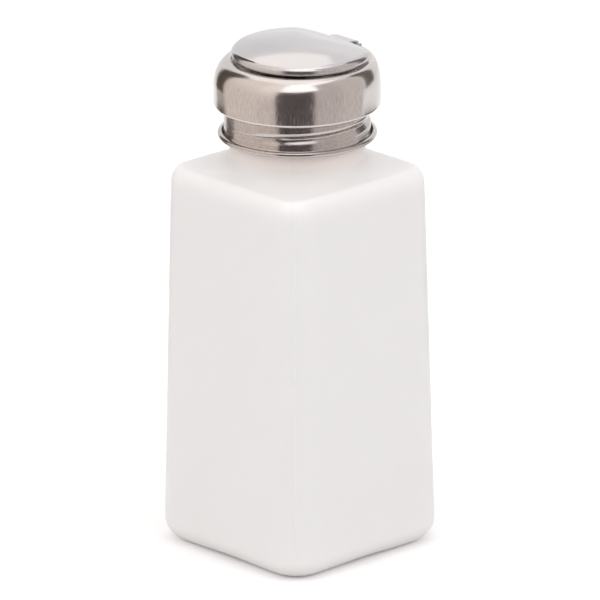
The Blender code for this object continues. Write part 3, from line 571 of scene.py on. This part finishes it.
rubber = plain_finish("fluoro_rubber_moulded", ("141312", "201E1D"), (0.55, 0.70), 0.4, 0.01)
new_piece("neck_gasket_rubber", turned(ring_section(13.5, 16.9, 123.3, 124.3, 0.15)), rubber,
          "core", "seal_rubber", "neck_gasket")
new_piece("guide_seal_rubber", turned(ring_section(2.8, 3.9, 120.0, 121.2, 0.3), 64), rubber,
          "core", "seal_rubber", "guide_seal")
new_piece("piston_ring_rubber", turned(ring_section(4.3, 5.2, 113.95, 115.15, 0.28), 64), rubber,
          "plunger", "seal_rubber", "piston_ring")

# Pump housing, stem guide, piston, foot valve, dish hub and nozzle: white polypropylene, injection
# moulded, with a satin skin and small rounds on every edge. The housing hangs in the neck by its
# flange, and the guide and the foot valve are pressed into its two ends.
polypropylene = plain_finish("white_polypropylene_moulded", ("E9E9E5", "F1F1EE"), (0.36, 0.46), 0.5, 0.008,
                             sunk=0.25)
housing_section = [
    (8.0, 125.8, 0.1), (16.9, 125.8, 0.3), (16.9, 124.6, 0.3), (9.0, 124.6, 0.4), (9.0, 117.0, 0.8),
    (7.0, 115.5, 0.8), (7.0, 90.4, 0.25), (4.2, 90.4, 0.2), (4.2, 97.4, 0.1), (5.5, 97.4, 0.1),
    (5.5, 118.5, 0.1), (6.2, 118.5, 0.1), (6.2, 125.0, 0.1), (8.0, 125.0, 0.1),
]
new_piece("pump_housing_moulded", turned(housing_section), polypropylene, "core", "white_polypropylene",
          "pump_housing")
guide_section = [
    (2.8, 118.8, 0.15), (5.9, 118.8, 0.3), (5.9, 125.3, 0.05), (7.7, 125.3, 0.1), (7.7, 125.8, 0.1),
    (5.9, 125.8, 0.05), (5.9, 126.4, 0.2), (2.8, 126.4, 0.25), (2.8, 121.5), (4.2, 121.5), (4.2, 119.7),
    (2.8, 119.7),
]
new_piece("stem_guide_moulded", turned(guide_section), polypropylene, "core", "white_polypropylene",
          "stem_guide")
piston_section = [
    (1.0, 111.8, 0.1), (5.2, 111.8, 0.35), (5.2, 113.65), (4.0, 113.65), (4.0, 115.45), (5.2, 115.45),
    (5.2, 117.3, 0.35), (2.8, 117.3, 0.2), (2.8, 113.1), (1.0, 113.1),
]
new_piece("piston_moulded", turned(piston_section), polypropylene, "plunger", "white_polypropylene", "piston")
valve_section = [
    (1.2, 88.9), (1.2, 92.0, 0.1), (2.4, 92.0, 0.2), (2.4, 96.1, 0.1), (3.9, 96.1, 0.3), (3.9, 90.1, 0.1),
    (6.0, 90.1, 0.25), (6.0, 88.9, 0.25), (3.8, 88.9, 0.2), (3.8, 82.6, 0.25), (2.8, 82.6, 0.25), (2.8, 88.9),
]
new_piece("foot_valve_moulded", turned(valve_section), polypropylene, "core", "white_polypropylene",
          "foot_valve")
new_piece("dish_hub_moulded", turned(ring_section(2.8, 5.7, 132.1, 133.7, 0.3)), polypropylene, "head",
          "white_polypropylene", "dish_hub")

# Dip tube: extruded low-density polyethylene, milky and thin-walled, cut at a slant at its foot so
# that it never seals against the bottle's floor.
tube_bore, tube_radius = 1.5, 2.5
tube_foot, tube_head = 4.0, 88.6
tube_slant = math.radians(30)
tube_bm = turned(ring_section(tube_bore, tube_radius, tube_foot, tube_head, 0.1), 64)
for vert in tube_bm.verts:
    if vert.co.z * 1000 < between((tube_foot, tube_head), 0.5):
        vert.co.z += math.tan(tube_slant) * (vert.co.y + tube_radius / 1000)
tube_plastic = plain_finish("low_density_polyethylene_extruded", ("DDE2E2", "E6EAEA"), (0.28, 0.36), 1.5,
                            0.01, sunk=0.5)
new_piece("dip_tube_extruded", tube_bm, tube_plastic, "core", "tube_polyethylene", "dip_tube")

# Return spring, retainer and valve balls: bright hard-drawn stainless wire with closed ends, a
# stamped washer, and two ground and polished balls that lift off their seats as the pump works.
bright_steel = plain_finish("drawn_spring_steel", ("B4B4B6", "C2C2C4"), (0.16, 0.24), 0.3, 0.003,
                            metallic=1.0)
coil_radius = 4.6
wire_radius = 0.4
wire_sides = 16
steps_each_turn = 36
closed_turns = 1
open_turns = 4
closed_rise = 0.83
spring_low, spring_high = 97.7, 111.5
spring_bm = bmesh.new()
stand = Matrix.Translation((coil_radius / 1000, 0, (spring_low + wire_radius) / 1000))
bmesh.ops.create_circle(spring_bm, segments=wire_sides, radius=wire_radius / 1000,
                        matrix=stand @ Matrix.Rotation(math.pi / 2, 4, "X"))
bmesh.ops.edgeloop_fill(spring_bm, edges=spring_bm.edges)
open_rise = (spring_high - spring_low - 2 * wire_radius - 2 * closed_turns * closed_rise) / open_turns
section = [*spring_bm.verts, *spring_bm.edges]
for turns, rise in ((closed_turns, closed_rise), (open_turns, open_rise), (closed_turns, closed_rise)):
    wound = bmesh.ops.spin(spring_bm, geom=section, cent=(0, 0, 0), axis=(0, 0, 1),
                           angle=2 * math.pi * turns, steps=turns * steps_each_turn,
                           dvec=(0, 0, rise / 1000 / steps_each_turn))
    section = wound["geom_last"]
bmesh.ops.edgeloop_fill(spring_bm, edges=[item for item in section if isinstance(item, bmesh.types.BMEdge)])
bmesh.ops.recalc_face_normals(spring_bm, faces=spring_bm.faces)
spring = new_piece("return_spring_wound", spring_bm, bright_steel, "core", "spring_steel", "return_spring")
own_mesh(spring)

new_piece("ball_retainer_stamped", turned(ring_section(1.2, 3.9, 96.4, 97.1, 0.12), 64), bright_steel, "core",
          "spring_steel", "ball_retainer")
for name, radius, level in (("inlet_ball", 2.0, 93.4), ("outlet_ball", 1.3, 136.23)):
    ball_bm = bmesh.new()
    bmesh.ops.create_uvsphere(ball_bm, u_segments=48, v_segments=24, radius=radius / 1000,
                              matrix=Matrix.Translation((0, 0, level / 1000)))
    new_piece(name + "_ground", ball_bm, bright_steel, name, "spring_steel", name)


# Stem and dish: satin stainless steel. The stem is drawn tube, from the piston to the nozzle; the dish
# is pressed from sheet, a boss in the middle, a trough round it and a rim caught under the shell.
wear_cloud = 6.25


def satin_steel(name, colours, roughness, stretch, grain_mm, relief_mm, polished_above=None):
    """Stainless steel whose brushed grain smears what it mirrors. Real brush marks are too fine to
    show, so it is drawn coarser; stretch says how many grains long it is along x, y and z.
    Polished_above says where a buffed part starts: its level, half the width of its edge, and how
    much duller the steel below it is. Above it the grain fades to a quarter."""
    material = bpy.data.materials.new(name)
    material.use_nodes = True
    tree = material.node_tree
    shader = tree.nodes["Principled BSDF"]
    place = add_node(tree, "ShaderNodeTexCoord")
    scaled = add_node(tree, "ShaderNodeMapping", {},
                      {"Vector": place.outputs["Object"],
                       "Scale": tuple(1000 / (grain_mm * run) for run in stretch)})
    grain = add_node(tree, "ShaderNodeTexNoise", {}, {"Vector": scaled.outputs[0], "Scale": 1.0,
                                                      "Detail": 3.0, "Roughness": 0.6})
    # Clouds of wear and handling dull the steel a little here and there
    cloud = add_node(tree, "ShaderNodeTexNoise", {}, {"Vector": place.outputs["Object"], "Detail": 3.0,
                                                      "Scale": 1000 / wear_cloud})
    strength = 1.0
    if polished_above:
        level, half_band, dullness = polished_above
        height = add_node(tree, "ShaderNodeSeparateXYZ", {}, {0: place.outputs["Object"]})
        edge = add_node(tree, "ShaderNodeMapRange", {"interpolation_type": "SMOOTHSTEP"},
                        {"Value": height.outputs[2], "From Min": (level - half_band) / 1000,
                         "From Max": (level + half_band) / 1000, "To Min": 1.0, "To Max": 0.25})
        strength = edge.outputs[0]
    centred = add_node(tree, "ShaderNodeMath", {"operation": "SUBTRACT"}, {0: grain.outputs[0], 1: 0.5})
    held = add_node(tree, "ShaderNodeMath", {"operation": "MULTIPLY"}, {0: centred.outputs[0], 1: strength})
    raised = add_node(tree, "ShaderNodeMath", {"operation": "ADD"}, {0: held.outputs[0], 1: 0.5})
    tint = add_node(tree, "ShaderNodeMix", {"data_type": "RGBA"},
                    {"Factor": raised.outputs[0], 6: hex_colour(colours[0]), 7: hex_colour(colours[1])})
    tree.links.new(tint.outputs[2], shader.inputs["Base Color"])
    both = add_node(tree, "ShaderNodeMath", {"operation": "MULTIPLY_ADD"},
                    {0: cloud.outputs[0], 1: 0.4, 2: raised.outputs[0]})
    gloss = add_node(tree, "ShaderNodeMapRange", {},
                     {"Value": both.outputs[0], "From Min": 0.5, "From Max": 0.9,
                      "To Min": roughness[0], "To Max": roughness[1]})
    finish = gloss.outputs[0]
    if polished_above:
        finish = add_node(tree, "ShaderNodeMath", {"operation": "MULTIPLY_ADD"},
                          {0: strength, 1: dullness, 2: finish}).outputs[0]
    tree.links.new(finish, shader.inputs["Roughness"])
    relief = add_node(tree, "ShaderNodeBump", {}, {"Height": raised.outputs[0], "Strength": 0.6,
                                                   "Distance": relief_mm / 1000})
    tree.links.new(relief.outputs[0], shader.inputs["Normal"])
    shader.inputs["Metallic"].default_value = 1.0
    return material


def turned_sheet(path, thickness, steps=144, rework=None):
    """Sheet metal turned from a path: that face looks to the path's left, and the thickness lies on
    its right. Rework reshapes the bare face before the thickness is added."""
    bm = bmesh.new()
    corners = [bm.verts.new((radius / 1000, 0, level / 1000)) for radius, level, *_ in path]
    for pair in zip(corners, corners[1:]):
        bm.edges.new(pair)
    for vert, (_, _, *round_off) in zip(corners, path):
        if round_off:
            bmesh.ops.bevel(bm, geom=[vert], offset=round_off[0] / 1000, offset_type="OFFSET",
                            affect="VERTICES", segments=6, profile=0.5, material=-1)
    first, second = Vector(path[0][:2]), Vector(path[1][:2])
    facing = Vector((first.y - second.y, 0, second.x - first.x))
    beside = Vector((first.x + second.x, 0, first.y + second.y)) / 2000
    bmesh.ops.spin(bm, geom=[*bm.verts, *bm.edges], cent=(0, 0, 0), axis=(0, 0, 1),
                   angle=2 * math.pi, steps=steps, use_merge=True)
    bmesh.ops.remove_doubles(bm, verts=bm.verts, dist=1e-7)
    bmesh.ops.recalc_face_normals(bm, faces=bm.faces)
    bm.normal_update()
    near = min(bm.faces, key=lambda face: (face.calc_center_median() - beside).length)
    if near.normal.dot(facing) < 0:
        bmesh.ops.reverse_faces(bm, faces=bm.faces)
    if rework:
        rework(bm)
    bm.normal_update()
    bmesh.ops.solidify(bm, geom=list(bm.faces), thickness=thickness / 1000)
    return bm


stem_bore, stem_radius = 1.0, 2.5
stem_foot, stem_head = 113.4, 135.1
drawn_steel = satin_steel("stainless_tube_drawn", ("C4BFBD", "D2CDCB"), (0.16, 0.24), (1, 1, 12), 0.2, 0.004)
new_piece("stem_drawn", turned(ring_section(stem_bore, stem_radius, stem_foot, stem_head, 0.15), 64),
          drawn_steel, "head", "satin_stainless_steel", "stem")

head_setback = 1.5
sheet = 0.5
trough_inner, trough_outer, trough_share = 8.7, 16.2, 0.8
rim_start, rim_end = 18.2, 19.1
dish_path = [(2.8, 134.5), (6.9, 134.5, 0.7), (trough_inner, 133.3, 0.8), (trough_outer, 133.3, 1.2),
             (rim_start, 135.7, 0.6), (rim_end, 135.7)]


def set_dish_back(bm):
    """Draws the dish back towards the hinge: its trough more and more outwards, its rim in full."""
    for vert in bm.verts:
        radius = vert.co.xy.length * 1000
        over_trough = min(max((radius - trough_inner) / (trough_outer - trough_inner), 0), 1)
        over_rim = min(max((radius - trough_outer) / (rim_start - trough_outer), 0), 1)
        vert.co.y += head_setback * between((over_rim, over_trough), trough_share) / 1000


pressed_steel = satin_steel("stainless_sheet_pressed", ("CFCAC8", "DCD7D5"), (0.24, 0.34), (1, 6, 1), 0.25,
                            0.004)
new_piece("dish_pressed", turned_sheet(dish_path, sheet, rework=set_dish_back), pressed_steel, "head",
          "satin_stainless_steel", "dish")

# Nozzle: white polypropylene cap over the stem, with four holes through its wall that let the
# liquid well out over the dish. It is snapped on above the boss.
nozzle_radius, nozzle_bore = 3.6, 1.7
nozzle_hole_level, nozzle_hole_radius = 137.7, 0.5
hole_band, hole_reach, hole_rim, hole_margin = 0.55, 0.6, 0.05, 0.1
hole_rows = (nozzle_hole_level - hole_band, nozzle_hole_level + hole_band)
nozzle_section = [
    (2.8, 134.8, 0.1), (4.6, 134.8, 0.2), (4.6, 135.4, 0.25), (nozzle_radius, 136.0, 0.5),
    (nozzle_radius, hole_rows[0]), (nozzle_radius, hole_rows[1]), (nozzle_radius, 139.13, 0.6), (0, 139.13),
    (0, 138.53), (nozzle_bore, 138.53, 0.1), (nozzle_bore, hole_rows[1]), (nozzle_bore, hole_rows[0]),
    (nozzle_bore, 135.4, 0.1), (2.8, 135.4),
]
nozzle_bm = turned(nozzle_section, 32)
for quarter in range(4):
    facing = Matrix.Rotation(math.pi / 2 * quarter, 3, "Z")
    outward, across = facing @ Vector((1, 0, 0)), facing @ Vector((0, 1, 0))
    rims = []
    for radius in (nozzle_radius, nozzle_bore):
        centre = (outward * radius + upwards * nozzle_hole_level) / 1000
        wall = [face for face in nozzle_bm.faces
                if (face.calc_center_median() - centre).length < hole_reach / 1000
                and abs(face.calc_center_median().xy.length - radius / 1000) < hole_margin / 1000]
        window = bmesh.ops.dissolve_faces(nozzle_bm, faces=wall, use_verts=True)["region"][0]
        bmesh.ops.inset_individual(nozzle_bm, faces=[window], thickness=hole_rim / 1000)
        bmesh.ops.subdivide_edges(nozzle_bm, edges=list(window.edges), cuts=1)
        window = min(nozzle_bm.faces, key=lambda face: (face.calc_center_median() - centre).length)
        for vert in window.verts:
            off = vert.co - centre
            flat = Vector((off.dot(across), off.z)).normalized() * nozzle_hole_radius / 1000
            vert.co = centre + across * flat.x + upwards * flat.y
        rims += list(window.edges)
        bmesh.ops.delete(nozzle_bm, geom=[window], context="FACES_ONLY")
    bmesh.ops.bridge_loops(nozzle_bm, edges=rims)
bmesh.ops.recalc_face_normals(nozzle_bm, faces=nozzle_bm.faces)
new_piece("nozzle_moulded", nozzle_bm, polypropylene, "head", "white_polypropylene", "nozzle")

# Head shell: stainless sheet, deep-drawn and spun over, its lower edge turned in and rolled and its
# crest turned over the dish's rim. The wall is brushed up and down, the dome above it is polished.
dome_start, dome_top, dome_steps = 129.5, 136.5, 16
shell_radius, crest_radius = 22.45, 18.9
crest_edge = (18.45, 136.3)
curl_radius, curl_level = 1.1, 124.78
shell_sheet = 0.45


def round_point(centre, radius, degrees):
    """A point on a round of a section, in degrees up from its outermost place."""
    angle = math.radians(degrees)
    return centre[0] + radius * math.cos(angle), centre[1] + radius * math.sin(angle)


shell_path = [crest_edge, (crest_radius, dome_top, 0.25)]
for step in range(1, dome_steps):
    angle = math.pi / 2 * (1 - step / dome_steps)
    shell_path.append((crest_radius + (shell_radius - crest_radius) * math.cos(angle),
                       dome_start + (dome_top - dome_start) * math.sin(angle)))
shell_path.append((shell_radius, dome_start))
for degrees in range(0, -251, -10):
    shell_path.append(round_point((shell_radius - curl_radius, curl_level), curl_radius, degrees))


def set_dome_back(bm):
    """Sets the dome's rings back towards the hinge, as far as the crest's full setback."""
    for vert in bm.verts:
        rise = min(max((vert.co.z * 1000 - dome_start) / (dome_top - dome_start), 0), 1)
        vert.co.y += head_setback * (1 - math.sqrt(1 - rise ** 2)) / 1000


shell_steel = satin_steel("stainless_shell_brushed", ("B6AFAC", "E6E0DD"), (0.12, 0.25), (1, 1, 5), 0.4,
                          0.008, polished_above=(132.8, 0.15, 0.0))
new_piece("head_shell_drawn", turned_sheet(shell_path, shell_sheet, steps=192, rework=set_dome_back),
          shell_steel, "head", "satin_stainless_steel", "head_shell")

# Hinge bracket, pin and rivets: a stamped stainless plate with two ears bent up, riveted in the
# dish, and a pin with peened ends that carries the lid's rolled tongue.
pin_row, pin_level = 18.1, 137.45
bracket_rows = (11.3, 15.8)
plate_levels = (133.6, 134.1)
ear_sides = (4.4, 5.2)
ear_outline = ((13.3, plate_levels[0]), (bracket_rows[1], plate_levels[0]), (18.75, 136.3), (18.75, 138.0),
               (17.4, 138.0), (13.3, 134.6))
ear_round = 0.7
stamped_edge = 0.12
bracket_bm = bmesh.new()


def raise_face(bm, face, way):
    """Draws a face out into a plate: the way gives its thickness, in millimetres."""
    grown = bmesh.ops.extrude_face_region(bm, geom=[face])["geom"]
    bmesh.ops.translate(bm, verts=[item for item in grown if isinstance(item, bmesh.types.BMVert)],
                        vec=Vector(way) / 1000)


half, (front, rear) = ear_sides[1], bracket_rows
plate = [bracket_bm.verts.new((x / 1000, y / 1000, plate_levels[0] / 1000))
         for x, y in ((-half, front), (half, front), (half, rear), (-half, rear))]
raise_face(bracket_bm, bracket_bm.faces.new(plate), (0, 0, plate_levels[1] - plate_levels[0]))
for near in (-ear_sides[1], ear_sides[0]):
    ear = [bracket_bm.verts.new((near / 1000, y / 1000, z / 1000)) for y, z in ear_outline]
    bracket_bm.faces.new(ear)
    bmesh.ops.bevel(bracket_bm, geom=ear[3:5], offset=ear_round / 1000, offset_type="OFFSET",
                    affect="VERTICES", segments=8, profile=0.5, material=-1)
    raise_face(bracket_bm, max(bracket_bm.faces, key=lambda face: len(face.verts)),
               (ear_sides[1] - ear_sides[0], 0, 0))
bmesh.ops.recalc_face_normals(bracket_bm, faces=bracket_bm.faces)
bracket = new_piece("hinge_bracket_stamped", bracket_bm, pressed_steel, "head", "satin_stainless_steel",
                    "hinge_bracket")
softened = bracket.modifiers.new("stamped_edges", "BEVEL")
softened.width = stamped_edge / 1000
softened.segments = 2
softened.limit_method = "ANGLE"

pin_section = [
    (0, -5.6), (0.65, -5.6, 0.2), (0.65, -5.3, 0.1), (0.5, -5.3),
    (0.5, 5.3), (0.65, 5.3, 0.1), (0.65, 5.6, 0.2), (0, 5.6),
]
pin_bm = turned(pin_section, 40)
bmesh.ops.rotate(pin_bm, verts=pin_bm.verts, cent=(0, 0, 0), matrix=Matrix.Rotation(math.pi / 2, 3, "Y"))
bmesh.ops.translate(pin_bm, verts=pin_bm.verts, vec=(0, pin_row / 1000, pin_level / 1000))
new_piece("hinge_pin_peened", pin_bm, bright_steel, "head", "spring_steel", "hinge_pin")

rivet_side, rivet_row = 2.8, 13.2
rivet_section = [
    (0, 131.9), (1.4, 131.9, 0.3), (1.4, 132.5, 0.1), (0.7, 132.5),
    (0.7, 134.4), (1.4, 134.4, 0.1), (1.3, 134.7, 0.2), (0.6, 135.0, 0.3), (0, 135.0),
]
for name, side in (("rivet_left", -rivet_side), ("rivet_right", rivet_side)):
    rivet_bm = turned(rivet_section, 40)
    bmesh.ops.translate(rivet_bm, verts=rivet_bm.verts, vec=(side / 1000, rivet_row / 1000, 0))
    new_piece(name + "_set", rivet_bm, pressed_steel, "head", "satin_stainless_steel", name)

# Lid: stainless sheet, pressed to a low buffed crown with a broad satin edge that turns down and in.
# Its rear side is straight; there the rim is notched for the bracket's ears, and a tongue of the same
# sheet is rolled round the pin. The lid has slack on its pin and sits a little lower on the right.
lid_radius, nose_level = 18.8, 137.85
soft_round, lip_round, round_change = 2.15, 1.5, 35
crown_height, crown_power, crown_edge = 2.3, 2.0, 79
lid_foot_radius, lid_foot = 18.1, 136.62
lid_slope = -0.010
straight_row, straight_corner = 15.58, 3.5
notch_half, notch_level = 5.6, 138.75
tongue_half, tongue_start = 4.0, (17.4, 138.55)
knuckle_radius = 1.02
hinge_reach = 4.0
change_turn, edge_turn = math.radians(round_change), math.radians(crown_edge)
lip_centre = (lid_radius - lip_round, nose_level)
soft_centre = (lip_centre[0] - (soft_round - lip_round) * math.cos(change_turn),
               lip_centre[1] - (soft_round - lip_round) * math.sin(change_turn))
flat_radius = soft_centre[0] + soft_round * math.cos(edge_turn)
crown_foot = soft_centre[1] + soft_round * math.sin(edge_turn)
crown_steps = 16
lid_path = []
for step in range(crown_steps + 1):
    share = step / crown_steps
    lid_path.append((flat_radius * share, crown_foot + crown_height * (1 - share ** crown_power)))
lid_path += [round_point(soft_centre, soft_round, degrees)
             for degrees in range(crown_edge - 4, round_change, -5)]
lid_path += [round_point(lip_centre, lip_round, degrees) for degrees in range(round_change, -31, -13)]
lid_path.append((lid_foot_radius, lid_foot))
tongue_path = [round_point((pin_row, pin_level), knuckle_radius, degrees) for degrees in range(80, -181, -20)]


def rear_faces(bm):
    """The lid's faces at the hinge, with their edges and points."""
    faces = [face for face in bm.faces if face.calc_center_median().y > (straight_row - hinge_reach) / 1000]
    return [*{item for face in faces for item in (*face.verts, *face.edges)}, *faces]


def straighten_and_roll(bm):
    """Sets the disc back, presses its rear side straight, notches the rim and rolls the tongue."""
    for vert in bm.verts:
        radius = vert.co.xy.length * 1000
        share = min(radius / flat_radius, 1)
        bound = share * (straight_row - head_setback - lid_radius + max(radius, flat_radius))
        corner = straight_corner * share
        over = vert.co.y * 1000 - bound + corner
        if over > 0 and corner > 0:
            vert.co.y = (bound - corner * math.exp(-over / corner)) / 1000
        vert.co.z += lid_slope * vert.co.x
        vert.co.y += head_setback / 1000
    for side in (-notch_half, -tongue_half, tongue_half, notch_half):
        bmesh.ops.bisect_plane(bm, geom=rear_faces(bm), plane_co=(side / 1000, 0, 0), plane_no=(1, 0, 0))
    bmesh.ops.bisect_plane(bm, geom=rear_faces(bm), plane_co=(0, 0, notch_level / 1000), plane_no=(0, 0, 1))
    notch = [face for face in rear_faces(bm) if isinstance(face, bmesh.types.BMFace)
             and face.calc_center_median().z < notch_level / 1000
             and abs(face.calc_center_median().x) < notch_half / 1000]
    bmesh.ops.delete(bm, geom=notch, context="FACES")
    on_tongue = {vert for vert in bm.verts if abs(vert.co.z - notch_level / 1000) < 1e-6
                 and abs(vert.co.x) < tongue_half / 1000 + 1e-6}
    edges = [edge for edge in bm.edges if edge.is_boundary and on_tongue.issuperset(edge.verts)]
    for row, level in (tongue_start, *tongue_path):
        verts, edges = grow_edges(bm, edges)
        for vert in verts:
            vert.co.yz = row / 1000, level / 1000
    bmesh.ops.recalc_face_normals(bm, faces=bm.faces)
    bm.normal_update()
    crown = max(bm.faces, key=lambda face: face.calc_center_median().z)
    if crown.normal.z < 0:
        bmesh.ops.reverse_faces(bm, faces=bm.faces)


lid_steel = satin_steel("stainless_lid_satin", ("B8B3B4", "E0DCDD"), (0.06, 0.11), (1, 1, 1), 0.5, 0.004,
                        polished_above=(139.0, 0.35, 0.14))
new_piece("lid_pressed", turned_sheet(lid_path, sheet, steps=192, rework=straighten_and_roll), lid_steel,
          "lid", "satin_stainless_steel", "lid")

# Screw collar: satin stainless sheet, drawn to a cap with a hole for the pump's guide. Its foot is
# rolled outwards into a bead, and its band inwards to a broad soft thread that catches the bottle's; a
# narrow crease leads up to where the thread starts.
collar_inner, collar_top, collar_hole = 19.3, 126.1, 6.5
bead_centre, bead_radius = (20.67, 115.9), 0.78
thread_band = (117.2, 125.3)
band_rows = 64
collar_path = [round_point(bead_centre, bead_radius, degrees) for degrees in range(110, -151, -13)]
collar_path.append((collar_inner, 116.7, 0.4))
collar_path += [(collar_inner, between(thread_band, row / band_rows)) for row in range(band_rows + 1)]
collar_path += [(collar_inner, collar_top, 0.5), (collar_hole, collar_top)]


def roll_collar(bm):
    """Rolls the thread into the band, and the narrow crease that leads up to its start."""
    band = [vert for vert in bm.verts if abs(vert.co.xy.length * 1000 - collar_inner) < 0.01]
    roll_thread(band, start=-85, turn=286, level=119.11, depth=-0.8, half_width=2.1, fade=45,
                rows=thread_band)
    roll_thread(band, start=-230, turn=182, level=118.05, depth=-0.16, half_width=0.4, fade=30,
                rows=thread_band)


collar_steel = satin_steel("stainless_collar_rolled", ("A9A19E", "D8D1CE"), (0.13, 0.26), (2, 2, 1), 0.4,
                           0.006)
new_piece("screw_collar_rolled", turned_sheet(collar_path, sheet, steps=288, rework=roll_collar),
          collar_steel, "collar", "satin_stainless_steel", "screw_collar")
